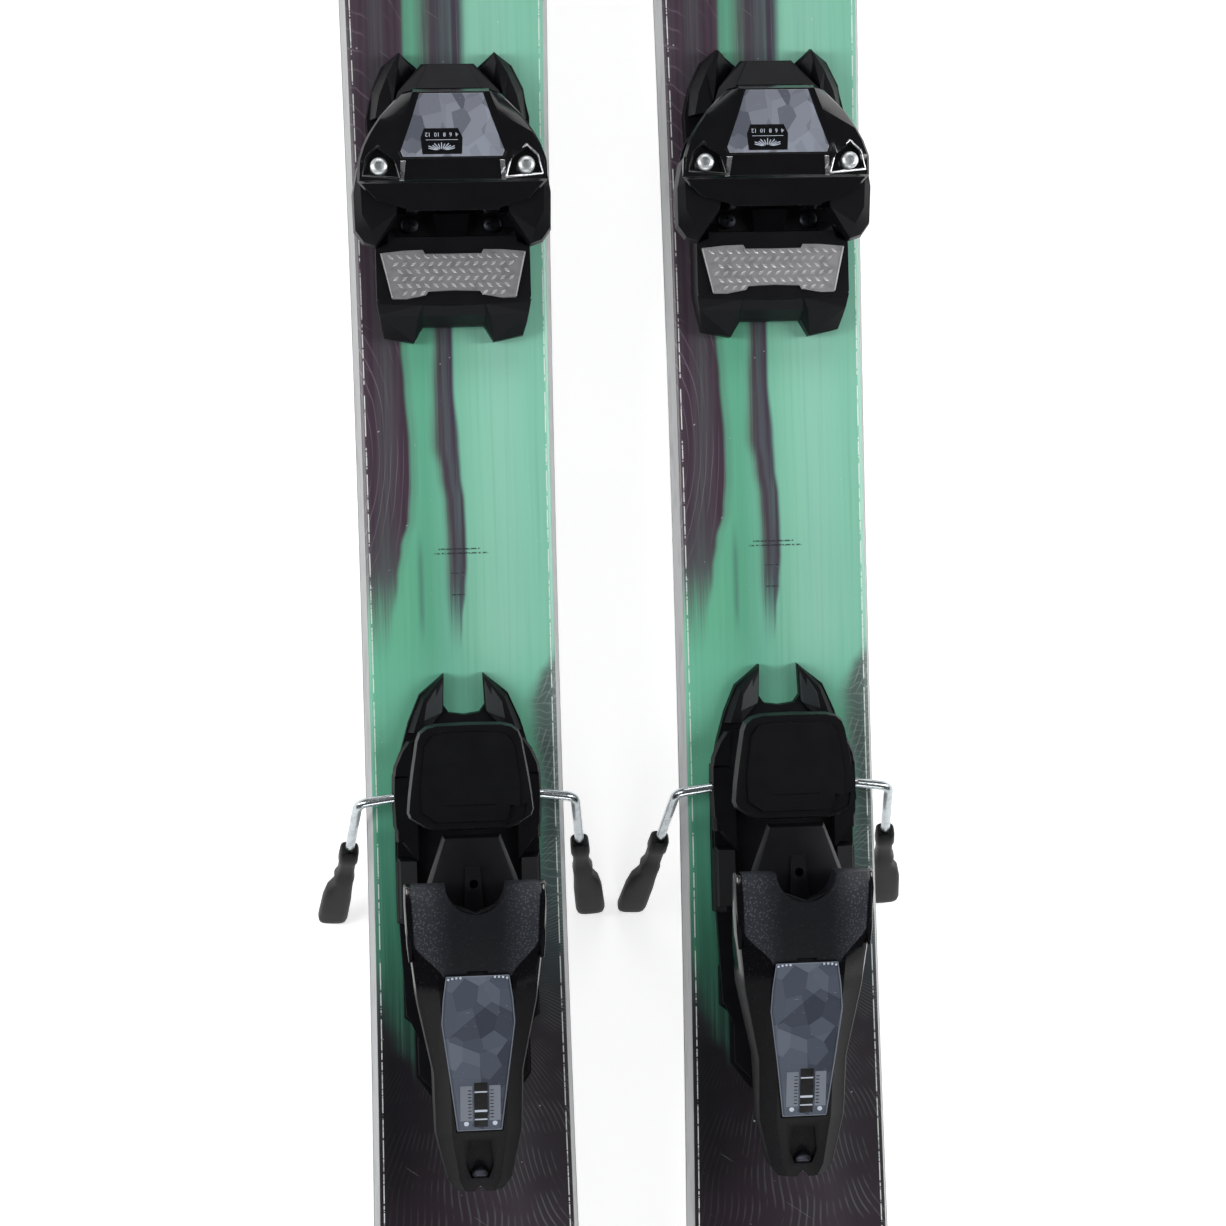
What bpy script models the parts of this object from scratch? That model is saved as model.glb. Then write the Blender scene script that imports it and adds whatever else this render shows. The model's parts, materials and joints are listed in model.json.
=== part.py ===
# A pair of alpine skis with step-in bindings, heel pieces open and brakes down.
# Sizes are in millimetres and the meshes are made in metres: X across the skis, +Y to the tips, +Z up.
# Each ski has its own frame: u across, v along from the boot's middle to the tip, h up from the top sheet.

import math

import bmesh
import bpy
from mathutils import Matrix, Vector

MM = 0.001
GAP = 0.3  # clearance between pieces that lie on or beside each other

# ski
SKI_LENGTH = 1730
WAIST_WIDTH = 92
WAIST_BEHIND_BOOT = 60
BOOT_BEHIND_MIDDLE = 75
TURN_RADIUS_FRONT = 20000
TURN_RADIUS_REAR = 17000
SHOVEL_LENGTH = 150  # widest point to the end of the tip
TAIL_ROUND_LENGTH = 70
TIP_ROCKER_LENGTH = 290
TAIL_ROCKER_LENGTH = 100
TIP_RISE = 62
TAIL_RISE = 14
CAMBER = 4
FLAT_HALF = 265  # the ski is straight under the binding
THICKNESS_UNDERFOOT = 13
THICKNESS_AT_ENDS = 6
BASE_THICKNESS = 1.3
EDGE_WIDTH = 2.2
EDGE_HEIGHT = 2.0
SIDEWALL_SLOPE = 2.8
SIDEWALL_WIDTH = 4.5
TOPSHEET_THICKNESS = 0.9
SIDE_GAP = 55  # from one ski to the other at the waist, room for two brake tips

# boot
BOOT_SOLE_LENGTH = 305
SOLE_HEIGHT = 23.3  # underside of the boot sole above the top sheet

# toe piece
HOUSING_HALF_WIDTH = 43
HOUSING_TOP = 46
WING_PIVOT_U = 33
WING_PIVOT_AHEAD = 20
WING_TOP = 35.4
WING_BOTTOM = 21.5
PIN_RADIUS = 3
PIN_HEAD_RADIUS = 3.9
TOE_SCREW_HEIGHT = 25
TOE_SCREW_RADIUS = 3
AFD_THICKNESS = 1.5

# heel piece
TRACK_HEIGHT = 6
TRACK_REAR = -101.5
CARRIAGE_FLOOR = 3
LENGTH_SCREW_RADIUS = 2.2
HEEL_AXLE_BEHIND = 37.5
HEEL_AXLE_HEIGHT = 30
HEEL_AXLE_RADIUS = 3
LUG_INNER = 11
LUG_THICKNESS = 5
HEEL_SCREW_RADIUS = 2.6
SPRING_RADIUS = 6.4
SPRING_WIRE = 1.1
SPRING_TURNS = 6

# brake
WIRE_RADIUS = 2.2
BRAKE_PIVOT_AHEAD = 40
BRAKE_PIVOT_HEIGHT = 12
BRAKE_BLOCK_INNER = 26
BRAKE_BLOCK_OUTER = 33.5
CRANK_AHEAD = 17.5
CRANK_RISE = 27.5
CRANK_HALF = 20
ARM_CLEARANCE = 4  # ski side to the middle of the wire
ARM_DEPTH = 84  # about the depth of the brake's foot below the top sheet
ARM_SPLAY = 10
ARM_BACK = 52
PEDAL_THICKNESS = 8

SIDES = (("left", -1), ("right", 1))

TAIL_END = BOOT_BEHIND_MIDDLE - SKI_LENGTH / 2
TIP_END = BOOT_BEHIND_MIDDLE + SKI_LENGTH / 2
PIN_SEAT = HOUSING_TOP - 5.5
HEEL_AXLE = (0, -HEEL_AXLE_BEHIND, HEEL_AXLE_HEIGHT)
BRAKE_PIVOT = (0, BRAKE_PIVOT_AHEAD, BRAKE_PIVOT_HEIGHT)
ARM_U = WAIST_WIDTH / 2 + ARM_CLEARANCE
SKI_SPACING = WAIST_WIDTH + SIDE_GAP  # between the centre lines of the two skis
PEDAL_BOTTOM = BRAKE_PIVOT_HEIGHT + CRANK_RISE + WIRE_RADIUS + 3 * GAP
LENGTH_SCREW_HEIGHT = TRACK_HEIGHT - LENGTH_SCREW_RADIUS - GAP / 2


# ---- helpers -------------------------------------------------------------------------------------


def value(size, *place):
    return size(*place) if callable(size) else size


def material(name, colour, roughness, metallic=0.0):
    made = bpy.data.materials.get(name)
    if made is None:
        made = bpy.data.materials.new(name)
        made.use_nodes = True
        shader = made.node_tree.nodes["Principled BSDF"]
        shader.inputs["Base Color"].default_value = (*colour, 1)
        shader.inputs["Roughness"].default_value = roughness
        shader.inputs["Metallic"].default_value = metallic
    return made


def frame(name, parent, place):
    """An empty that carries pieces, at a place given in its parent's frame."""
    empty = bpy.data.objects.new(name, None)
    bpy.context.collection.objects.link(empty)
    empty.empty_display_size = 10 * MM
    empty.parent = parent
    empty.location = Vector(place) * MM
    return empty


def place_object(name, data, parent, pivot):
    made = bpy.data.objects.new(name, data)
    bpy.context.collection.objects.link(made)
    made.parent = parent
    made.location = Vector(pivot) * MM
    return made


def solid(name, mesh, finish, parent, pivot=(0, 0, 0), soften=0.0, steps=1):
    """Turns a bmesh in the parent's millimetres into an object whose origin is the pivot."""
    bmesh.ops.recalc_face_normals(mesh, faces=mesh.faces)
    bmesh.ops.translate(mesh, verts=mesh.verts, vec=-Vector(pivot))
    bmesh.ops.scale(mesh, verts=mesh.verts, vec=(MM, MM, MM))
    data = bpy.data.meshes.new(name)
    mesh.to_mesh(data)
    mesh.free()
    data.materials.append(finish)
    data.shade_smooth()
    data.set_sharp_from_angle(angle=math.radians(30))
    made = place_object(name, data, parent, pivot)
    if soften:
        bevel = made.modifiers.new("soften", "BEVEL")
        bevel.width = soften * MM
        bevel.segments = steps
        bevel.limit_method = "ANGLE"
        bevel.angle_limit = math.radians(40)
    return made


def combine(body, mesh, operation):
    """Joins a shape to a body or cuts it from the body; the shape is given in the frame of the body's parent."""
    helper = solid(f"{body.name}_{operation.lower()}", mesh, body.data.materials[0], body.parent)
    helper.hide_render = True
    helper.display_type = "WIRE"
    change = body.modifiers.new(operation.lower(), "BOOLEAN")
    change.operation = operation
    change.object = helper


def add(body, mesh):
    combine(body, mesh, "UNION")


def cut(body, mesh):
    combine(body, mesh, "DIFFERENCE")


def prism(outline, bottom, top):
    """A plan outline of (u, v) points raised from bottom to top, each a number or a function of u and v."""
    mesh = bmesh.new()
    low = [mesh.verts.new((u, v, value(bottom, u, v))) for u, v in outline]
    high = [mesh.verts.new((u, v, value(top, u, v))) for u, v in outline]
    mesh.faces.new(low)
    mesh.faces.new(high)
    for i in range(len(outline)):
        j = (i + 1) % len(outline)
        mesh.faces.new((low[i], low[j], high[j], high[i]))
    return mesh


def box(u, v, h):
    """A block between two values on each axis."""
    return prism([(u[0], v[0]), (u[1], v[0]), (u[1], v[1]), (u[0], v[1])], *h)


def mirrored(half):
    """A symmetric outline from its right half, which runs from the back to the front."""
    return half + [(-u, v) for u, v in reversed(half) if u]


def loft(rings):
    """A closed skin over rings of points, each with the same number of points."""
    mesh = bmesh.new()
    made = [[mesh.verts.new(point) for point in ring] for ring in rings]
    for one, other in zip(made, made[1:]):
        for i in range(len(one)):
            j = (i + 1) % len(one)
            mesh.faces.new((one[i], one[j], other[j], other[i]))
    mesh.faces.new(made[0])
    mesh.faces.new(made[-1])
    return mesh


def turned(profile, start, towards, sides=16):
    """A round solid from (radius, distance) points, turned about the line that leaves start towards a point."""
    axis = Vector(towards) - Vector(start)
    turn = axis.to_track_quat("Z", "Y").to_matrix().to_4x4()
    to_line = Matrix.Translation(start) @ turn
    rings = []
    for radius, distance in profile:
        rings.append(
            [
                to_line @ Vector((radius * math.cos(a), radius * math.sin(a), distance))
                for a in (2 * math.pi * k / sides for k in range(sides))
            ]
        )
    return loft(rings)


def rod(radius, start, end, sides=16):
    length = (Vector(end) - Vector(start)).length
    return turned([(radius, 0), (radius, length)], start, end, sides)


def rounded_route(corners, radius, steps=4):
    """The route through the corners, with each inner corner turned on an arc."""
    route = [Vector(corners[0])]
    for before, corner, after in zip(corners, corners[1:], corners[2:]):
        before, corner, after = Vector(before), Vector(corner), Vector(after)
        back, on = (before - corner).normalized(), (after - corner).normalized()
        half_angle = back.angle(on) / 2
        reach = radius / math.tan(half_angle)
        centre = corner + (back + on).normalized() * (radius / math.sin(half_angle))
        first, last = corner + back * reach - centre, corner + on * reach - centre
        for k in range(steps + 1):
            route.append(centre + first.slerp(last, k / steps).normalized() * radius)
    route.append(Vector(corners[-1]))
    return route


def tube(name, route, radius, finish, parent, pivot=(0, 0, 0), resolution=2):
    """A wire of round section along a route."""
    data = bpy.data.curves.new(name, "CURVE")
    data.dimensions = "3D"
    data.bevel_depth = radius * MM
    data.bevel_resolution = resolution
    data.use_fill_caps = True
    spline = data.splines.new("POLY")
    spline.points.add(len(route) - 1)
    for point, place in zip(spline.points, route):
        point.co = (*((Vector(place) - Vector(pivot)) * MM), 1)
    data.materials.append(finish)
    return place_object(name, data, parent, pivot)


def coil(name, start, end, finish, parent, pivot=(0, 0, 0), steps=9):
    """A compression spring between two points on its axis."""
    axis = Vector(end) - Vector(start)
    turn = axis.to_track_quat("Z", "Y").to_matrix()
    route = []
    count = SPRING_TURNS * steps
    for k in range(count + 1):
        a = 2 * math.pi * k / steps
        ring = Vector((math.cos(a), math.sin(a), 0)) * (SPRING_RADIUS - SPRING_WIRE)
        route.append(Vector(start) + turn @ ring + axis * (k / count))
    return tube(name, route, SPRING_WIRE, finish, parent, pivot, resolution=1)


# ---- finishes ------------------------------------------------------------------------------------


def finishes():
    return {
        "running_base": material("running_base", (0.02, 0.02, 0.022), 0.45),
        "edge_steel": material("edge_steel", (0.5, 0.5, 0.5), 0.3, 1.0),
        "core": material("wood_core", (0.55, 0.38, 0.2), 0.7),
        "sidewall": material("sidewall", (0.72, 0.74, 0.74), 0.4),
        "topsheet": material("topsheet", (0.45, 0.62, 0.5), 0.35),
        "gloss": material("gloss_black", (0.012, 0.012, 0.014), 0.12),
        "satin": material("satin_black", (0.03, 0.03, 0.034), 0.42),
        "window": material("window", (0.1, 0.11, 0.12), 0.08),
        "steel": material("stainless_plate", (0.62, 0.62, 0.6), 0.28, 1.0),
        "zinc": material("zinc_steel", (0.55, 0.56, 0.58), 0.35, 1.0),
        "scale": material("scale_plastic", (0.8, 0.8, 0.75), 0.4),
    }


# ---- the ski -------------------------------------------------------------------------------------


def half_width(v):
    """Half the ski's width between its two widest points."""
    from_waist = v + WAIST_BEHIND_BOOT
    radius = TURN_RADIUS_FRONT if from_waist > 0 else TURN_RADIUS_REAR
    return WAIST_WIDTH / 2 + from_waist**2 / (2 * radius)


def side_line():
    """The right side of the ski as (u, v) points, from the tail to the tip."""
    tail_wide, tip_wide = TAIL_END + TAIL_ROUND_LENGTH, TIP_END - SHOVEL_LENGTH
    tail_half, tip_half = half_width(tail_wide), half_width(tip_wide)
    line = []
    for k in range(5):
        a = math.radians(82 - 18 * k)
        line.append((tail_half * math.cos(a) ** 0.5, tail_wide - TAIL_ROUND_LENGTH * math.sin(a) ** 0.8))
    steps = 12
    for k in range(steps + 1):
        v = tail_wide + (tip_wide - tail_wide) * k / steps
        line.append((half_width(v), v))
    for k in range(1, 7):
        a = math.radians(14 * k)
        line.append((tip_half * math.cos(a) ** 0.9, tip_wide + SHOVEL_LENGTH * math.sin(a)))
    return line


def inset_line(inset):
    """The side line moved inwards."""
    line = side_line()
    moved = []
    for i, (u, v) in enumerate(line):
        before = line[i - 1] if i else (-line[0][0], line[0][1])
        after = line[i + 1] if i + 1 < len(line) else (-line[-1][0], line[-1][1])
        along = Vector((after[0] - before[0], after[1] - before[1])).normalized()
        moved.append((u - inset * along.y, v + inset * along.x))
    return moved


def smooth_share(x):
    x = min(max(x, 0), 1)
    return (1 - math.cos(math.pi * x)) / 2


def base_height(v):
    """The underside's height above its height underfoot."""
    tip_contact, tail_contact = TIP_END - TIP_ROCKER_LENGTH, TAIL_END + TAIL_ROCKER_LENGTH
    if v > tip_contact:
        return -CAMBER + TIP_RISE * ((v - tip_contact) / TIP_ROCKER_LENGTH) ** 2.2
    if v < tail_contact:
        return -CAMBER + TAIL_RISE * ((tail_contact - v) / TAIL_ROCKER_LENGTH) ** 2
    if v > 0:
        return -CAMBER * smooth_share((v - FLAT_HALF) / (tip_contact - FLAT_HALF))
    return -CAMBER * smooth_share((-v - FLAT_HALF) / (-tail_contact - FLAT_HALF))


def thickness(v):
    end = TIP_END - SHOVEL_LENGTH if v > 0 else -TAIL_END
    share = smooth_share((abs(v) - FLAT_HALF) / (end - FLAT_HALF))
    return THICKNESS_UNDERFOOT + (THICKNESS_AT_ENDS - THICKNESS_UNDERFOOT) * share


def ski_height(v, above_base):
    """Height in the ski's frame, where the top sheet is at 0 underfoot."""
    return base_height(v) + value(above_base, v) - THICKNESS_UNDERFOOT


def slab(inset, bottom, top, top_inset=0.0):
    """A full-width layer of the ski."""
    rings = []
    for (u, v), (top_u, top_v) in zip(inset_line(inset), inset_line(inset + top_inset)):
        low, high = ski_height(v, bottom), ski_height(top_v, top)
        rings.append([(-u, v, low), (u, v, low), (top_u, top_v, high), (-top_u, top_v, high)])
    return loft(rings)


def rim(section):
    """A band all round the ski, from (inset, height above the base) points of its section."""
    mesh = bmesh.new()
    lines = [inset_line(inset) for inset, _ in section]
    rings = []
    for side in (1, -1):
        order = range(len(lines[0])) if side > 0 else reversed(range(len(lines[0])))
        for i in order:
            ring = []
            for line, (_, height) in zip(lines, section):
                u, v = line[i]
                ring.append(mesh.verts.new((side * u, v, ski_height(v, height))))
            rings.append(ring)
    for one, other in zip(rings, rings[1:] + rings[:1]):
        for i in range(len(section)):
            j = (i + 1) % len(section)
            mesh.faces.new((one[i], one[j], other[j], other[i]))
    return mesh


def make_ski(ski, looks, side):
    core_inset = SIDEWALL_WIDTH + GAP
    under_top = TOPSHEET_THICKNESS + GAP

    def wall_top(v):
        return thickness(v) - under_top

    solid(f"{side}_base", slab(EDGE_WIDTH + GAP, 0, BASE_THICKNESS), looks["running_base"], ski)
    solid(
        f"{side}_edge",
        rim([(0, 0), (0, EDGE_HEIGHT), (EDGE_WIDTH, EDGE_HEIGHT), (EDGE_WIDTH, 0)]),
        looks["edge_steel"],
        ski,
    )
    solid(
        f"{side}_sidewall",
        rim(
            [
                (0.2, EDGE_HEIGHT + GAP),
                (SIDEWALL_SLOPE, wall_top),
                (SIDEWALL_WIDTH, wall_top),
                (SIDEWALL_WIDTH, EDGE_HEIGHT + GAP),
            ]
        ),
        looks["sidewall"],
        ski,
    )
    solid(f"{side}_core", slab(core_inset, EDGE_HEIGHT + GAP, wall_top), looks["core"], ski)
    solid(
        f"{side}_topsheet",
        slab(SIDEWALL_SLOPE, lambda v: thickness(v) - TOPSHEET_THICKNESS, thickness, top_inset=0.8),
        looks["topsheet"],
        ski,
    )


# ---- the toe piece: v is measured from the boot's toe ------------------------------------------------


def make_toe_base(toe, looks, side):
    half = [(28, -8), (36, 0), (38, 47), (35, 60), (30, 70.5), (22, 77.5), (13, 69.5), (10, 62)]
    half.append((0, 62))
    plate = prism(mirrored([(0, -8)] + half), GAP, 8)
    body = solid(f"{side}_toe_plate", plate, looks["satin"], toe, soften=1.2)
    for way in (-1, 1):
        horn = [(13, 60), (35, 60), (30, 70), (22, 77), (14, 69)]
        add(body, prism([(way * u, v) for u, v in horn], 6, lambda u, v: 9 + (v - 60) * 0.3))


def housing_ring(v, half, top, bottom, shoulder=4.0):
    """A section across the toe housing, with sloping shoulders."""
    low = bottom + 3
    return [
        (-half + 3, v, bottom),
        (half - 3, v, bottom),
        (half, v, low),
        (half, v, top - shoulder),
        (half * 0.62, v, top),
        (-half * 0.62, v, top),
        (-half, v, top - shoulder),
        (-half, v, low),
    ]


def make_toe_housing(toe, looks, side):
    bottom = 8 + GAP
    full = HOUSING_HALF_WIDTH
    stations = [
        (0.5, 0.56, -9, 17),
        (6, 0.86, -3, 12),
        (14.5, 1.0, 0, 0),
        (29.5, 0.93, 0, 0),
        (43, 0.76, -2, 0),
        (54.5, 0.5, -6, 0),
    ]
    rings = [housing_ring(v, full * w, HOUSING_TOP + up, bottom + lift) for v, w, up, lift in stations]
    body = solid(f"{side}_toe_housing", loft(rings), looks["gloss"], toe, soften=1.2)
    nose = [(0, 50), (9, 50), (10, 66), (7, 70.5), (0, 70.5)]
    add(body, prism(mirrored(nose), bottom, 16))
    # spring chamber, open below
    room = SPRING_RADIUS + 3.5
    cut(body, box((-room, room), (10, 48), (0, TOE_SCREW_HEIGHT + room)))
    head = TOE_SCREW_RADIUS + 2 + GAP
    cut(body, rod(head, (0, 45, TOE_SCREW_HEIGHT), (0, 80, TOE_SCREW_HEIGHT)))
    for way in (-1, 1):
        low, high = WING_BOTTOM - GAP, WING_TOP + GAP
        pocket = [(21, -20), (60, -20), (60, 31.5), (24, 31.5), (21, 27)]
        cut(body, prism([(way * u, v) for u, v in pocket], low, high))
        at = (way * WING_PIVOT_U, WING_PIVOT_AHEAD)
        cut(body, rod(PIN_HEAD_RADIUS + GAP, (*at, PIN_SEAT), (*at, HOUSING_TOP + 10)))
        cut(body, rod(PIN_RADIUS + GAP, (*at, WING_BOTTOM - 8), (*at, HOUSING_TOP)))


def make_toe_wings(toe, looks, side):
    for hand, way in SIDES:
        pivot = (way * WING_PIVOT_U, WING_PIVOT_AHEAD, 0)
        outline = [
            (25, -0.5), (35, -14.5), (41, -12.5), (45, -7), (45.4, 10), (43, 22),
            (38, 28), (32, 29), (26, 24), (23, 14),
        ]
        shape = prism(
            [(way * u, v) for u, v in outline],
            lambda u, v: WING_BOTTOM,
            lambda u, v: WING_TOP - max(0, 12 - v) * 0.28,
        )
        wing = solid(f"{side}_toe_wing_{hand}", shape, looks["gloss"], toe, pivot, soften=1.0)
        hole = PIN_RADIUS + GAP
        at = (way * WING_PIVOT_U, WING_PIVOT_AHEAD)
        cut(wing, rod(hole, (*at, WING_BOTTOM - 5), (*at, WING_TOP + 5)))
        foot, top = WING_BOTTOM - 7.5, HOUSING_TOP - 0.5
        shank, whole = PIN_SEAT + GAP - foot, top - foot
        pin = [(PIN_RADIUS, 0), (PIN_RADIUS, shank), (PIN_HEAD_RADIUS, shank), (PIN_HEAD_RADIUS, whole)]
        body = turned(pin, (*at, foot), (*at, top))
        pinned = solid(f"{side}_toe_pin_{hand}", body, looks["zinc"], toe, (*at, 0))
        cut(pinned, rod(2, (*at, top - 2), (*at, top + 5), sides=6))


def make_toe_adjuster(toe, looks, side):
    h = TOE_SCREW_HEIGHT
    head = TOE_SCREW_RADIUS + 2
    front = 52
    profile = [(TOE_SCREW_RADIUS, 0), (TOE_SCREW_RADIUS, 37), (head, 37), (head, 42)]
    screw = turned(profile, (0, front - 42, h), (0, front, h))
    pivot = (0, front, h)
    made = solid(f"{side}_toe_screw", screw, looks["zinc"], toe, pivot)
    cut(made, box((-6, 6), (front - 1.5, front + 1), (h - 0.7, h + 0.7)))
    coil(f"{side}_toe_spring", (0, 12 + GAP, h), (0, 33, h), looks["zinc"], toe)
    hole = TOE_SCREW_RADIUS + GAP
    wide = SPRING_RADIUS + 2.5
    nut = box((-wide, wide), (35, 40), (h - wide, h + wide))
    block = solid(f"{side}_toe_scale", nut, looks["scale"], toe, (0, 35, h), soften=0.8)
    cut(block, rod(hole, (0, 30, h), (0, 45, h)))


def make_afd(toe, looks, side):
    top = SOLE_HEIGHT - AFD_THICKNESS - GAP
    half = [(0, -49), (14, -49), (18, -56.5), (32, -53.5), (35.5, -38), (35.5, -9)]
    half.append((0, -9))
    body = solid(f"{side}_afd_frame", prism(mirrored(half), GAP, top), looks["satin"], toe, soften=1.5)
    cut(body, box((-12, 12), (-60, -44), (-2, 30)))
    edge = [
        (0, -34), (12, -34.4), (13, -36), (22, -37.6), (28.1, -37.5), (33.3, -16.5),
        (22, -15.4), (14, -15.2), (13, -17), (0, -17),
    ]
    plate = prism(mirrored(edge), top + GAP, SOLE_HEIGHT)
    solid(f"{side}_afd_plate", plate, looks["steel"], toe, (0, -26, SOLE_HEIGHT))


# ---- the heel piece: v is measured from the boot's heel ----------------------------------------------


def make_track(heel, looks, side):
    half = [
        (0, TRACK_REAR), (18.4, TRACK_REAR), (26.6, -90), (26.6, -66.5), (31.4, -62.5), (31.4, -44),
        (33.5, -18.5), (33.5, 20), (33, 44.5), (30, 60.5), (26, 74.5), (20.6, 87),
    ]
    half += [(9, 96.5), (9.5, 81.5), (0, 77.5)]
    body = solid(f"{side}_heel_track", prism(mirrored(half), GAP, TRACK_HEIGHT), looks["satin"], heel, soften=1)
    front, head = 2, TRACK_REAR - GAP
    channel = LENGTH_SCREW_RADIUS + 2
    low = LENGTH_SCREW_HEIGHT - LENGTH_SCREW_RADIUS - GAP
    cut(body, box((-channel, channel), (TRACK_REAR - 10, front + 4), (low, TRACK_HEIGHT + 5)))
    for way in (-1, 1):
        horn = [(9.3, 79), (25, 76), (20, 87), (10, 94.5)]
        add(body, prism([(way * u, v) for u, v in horn], TRACK_HEIGHT - 1, TRACK_HEIGHT + 4))
    profile = [
        (LENGTH_SCREW_RADIUS, 0),
        (LENGTH_SCREW_RADIUS, front - head),
        (LENGTH_SCREW_RADIUS + 0.8, front - head),
        (LENGTH_SCREW_RADIUS + 0.8, front - head + 5),
    ]
    start = (0, front, LENGTH_SCREW_HEIGHT)
    screw = turned(profile, start, (0, head, LENGTH_SCREW_HEIGHT), sides=12)
    made = solid(f"{side}_length_screw", screw, looks["zinc"], heel, (0, head, LENGTH_SCREW_HEIGHT))
    cut(made, box((-0.5, 0.5), (head - 8, head - 4), (0, 12)))


def make_carriage(carriage, looks, side):
    low, high = TRACK_HEIGHT + GAP, TRACK_HEIGHT + GAP + CARRIAGE_FLOOR
    half = [(0, -82), (18, -82), (24, -74), (30.5, -60), (33.5, -18), (33.5, 47), (28, 52), (0, 52)]
    floor = prism(mirrored(half), low, high)
    body = solid(f"{side}_heel_carriage", floor, looks["satin"], carriage, soften=0.8)
    block_top = BRAKE_PIVOT_HEIGHT + WIRE_RADIUS + GAP + 1.1
    y, h = -HEEL_AXLE_BEHIND, HEEL_AXLE_HEIGHT
    for way in (-1, 1):
        blocks = sorted((way * BRAKE_BLOCK_INNER, way * BRAKE_BLOCK_OUTER))
        add(body, box(blocks, (19.5, 46.5), (high - 1, block_top)))
        lug = [(-14, low + 1), (-9, h), (-5.5, h + 6), (0, h + 8), (5.5, h + 6), (9, h), (14, low + 1)]
        plate = [(way * LUG_INNER, way * (LUG_INNER + LUG_THICKNESS))]
        for inner, outer in plate:
            rings = [[(u, y + v, z) for v, z in lug] for u in (inner, outer)]
            add(body, loft(rings))
    key = LENGTH_SCREW_RADIUS + 2 - GAP
    add(body, box((-key, key), (-36, -24), (LENGTH_SCREW_HEIGHT - LENGTH_SCREW_RADIUS, low + 1)))
    pivot_v, pivot_h = BRAKE_PIVOT[1:]
    cut(body, rod(WIRE_RADIUS + GAP, (-60, pivot_v, pivot_h), (60, pivot_v, pivot_h)))
    cut(body, rod(HEEL_AXLE_RADIUS + GAP, (-40, y, h), (40, y, h)))
    hole = LENGTH_SCREW_RADIUS + GAP
    cut(body, rod(hole, (0, -60, LENGTH_SCREW_HEIGHT), (0, 0, LENGTH_SCREW_HEIGHT)))
    axle = rod(HEEL_AXLE_RADIUS, (-26, y, h), (26, y, h))
    solid(f"{side}_heel_axle", axle, looks["zinc"], carriage, HEEL_AXLE)


# (v, half width, side top, crown top, bottom) of the heel housing
HEAD_STATIONS = [
    (5.5, 31.2, 66, 70, 60),
    (-3, 31.6, 70, 73, 58),
    (-16.5, 31, 67, 72, 50),
    (-30, 29, 62, 69, 34),
    (-48, 27, 57, 65, 24),
    (-81, 20.5, 49, 57, 24),
    (-109, 20, 41, 48, 27),
    (-131, 15, 38, 42, 25),
    (-136.5, 11, 37, 40, 27),
]


def head_ring(v, half, side_top, crown, bottom, shrink=0.0):
    """A section across the heel housing, with a crowned top."""
    half -= shrink
    return [
        (-half + 2, v, bottom),
        (half - 2, v, bottom),
        (half, v, bottom + 2),
        (half, v, side_top - 3 - shrink),
        (half - 3, v, side_top - shrink),
        (half * 0.45, v, crown - shrink),
        (-half * 0.45, v, crown - shrink),
        (-half + 3, v, side_top - shrink),
        (-half, v, side_top - 3 - shrink),
        (-half, v, bottom + 2),
    ]


def head_station(v):
    """The housing's section at a distance behind the boot's heel."""
    for one, other in zip(HEAD_STATIONS, HEAD_STATIONS[1:]):
        if other[0] <= v <= one[0]:
            share = (one[0] - v) / (one[0] - other[0])
            return [a + (b - a) * share for a, b in zip(one, other)]


SCREW_FRONT = Vector((0, -62, 40.5))
SCREW_REAR = Vector((0, -134.5, 33.5))


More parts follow.
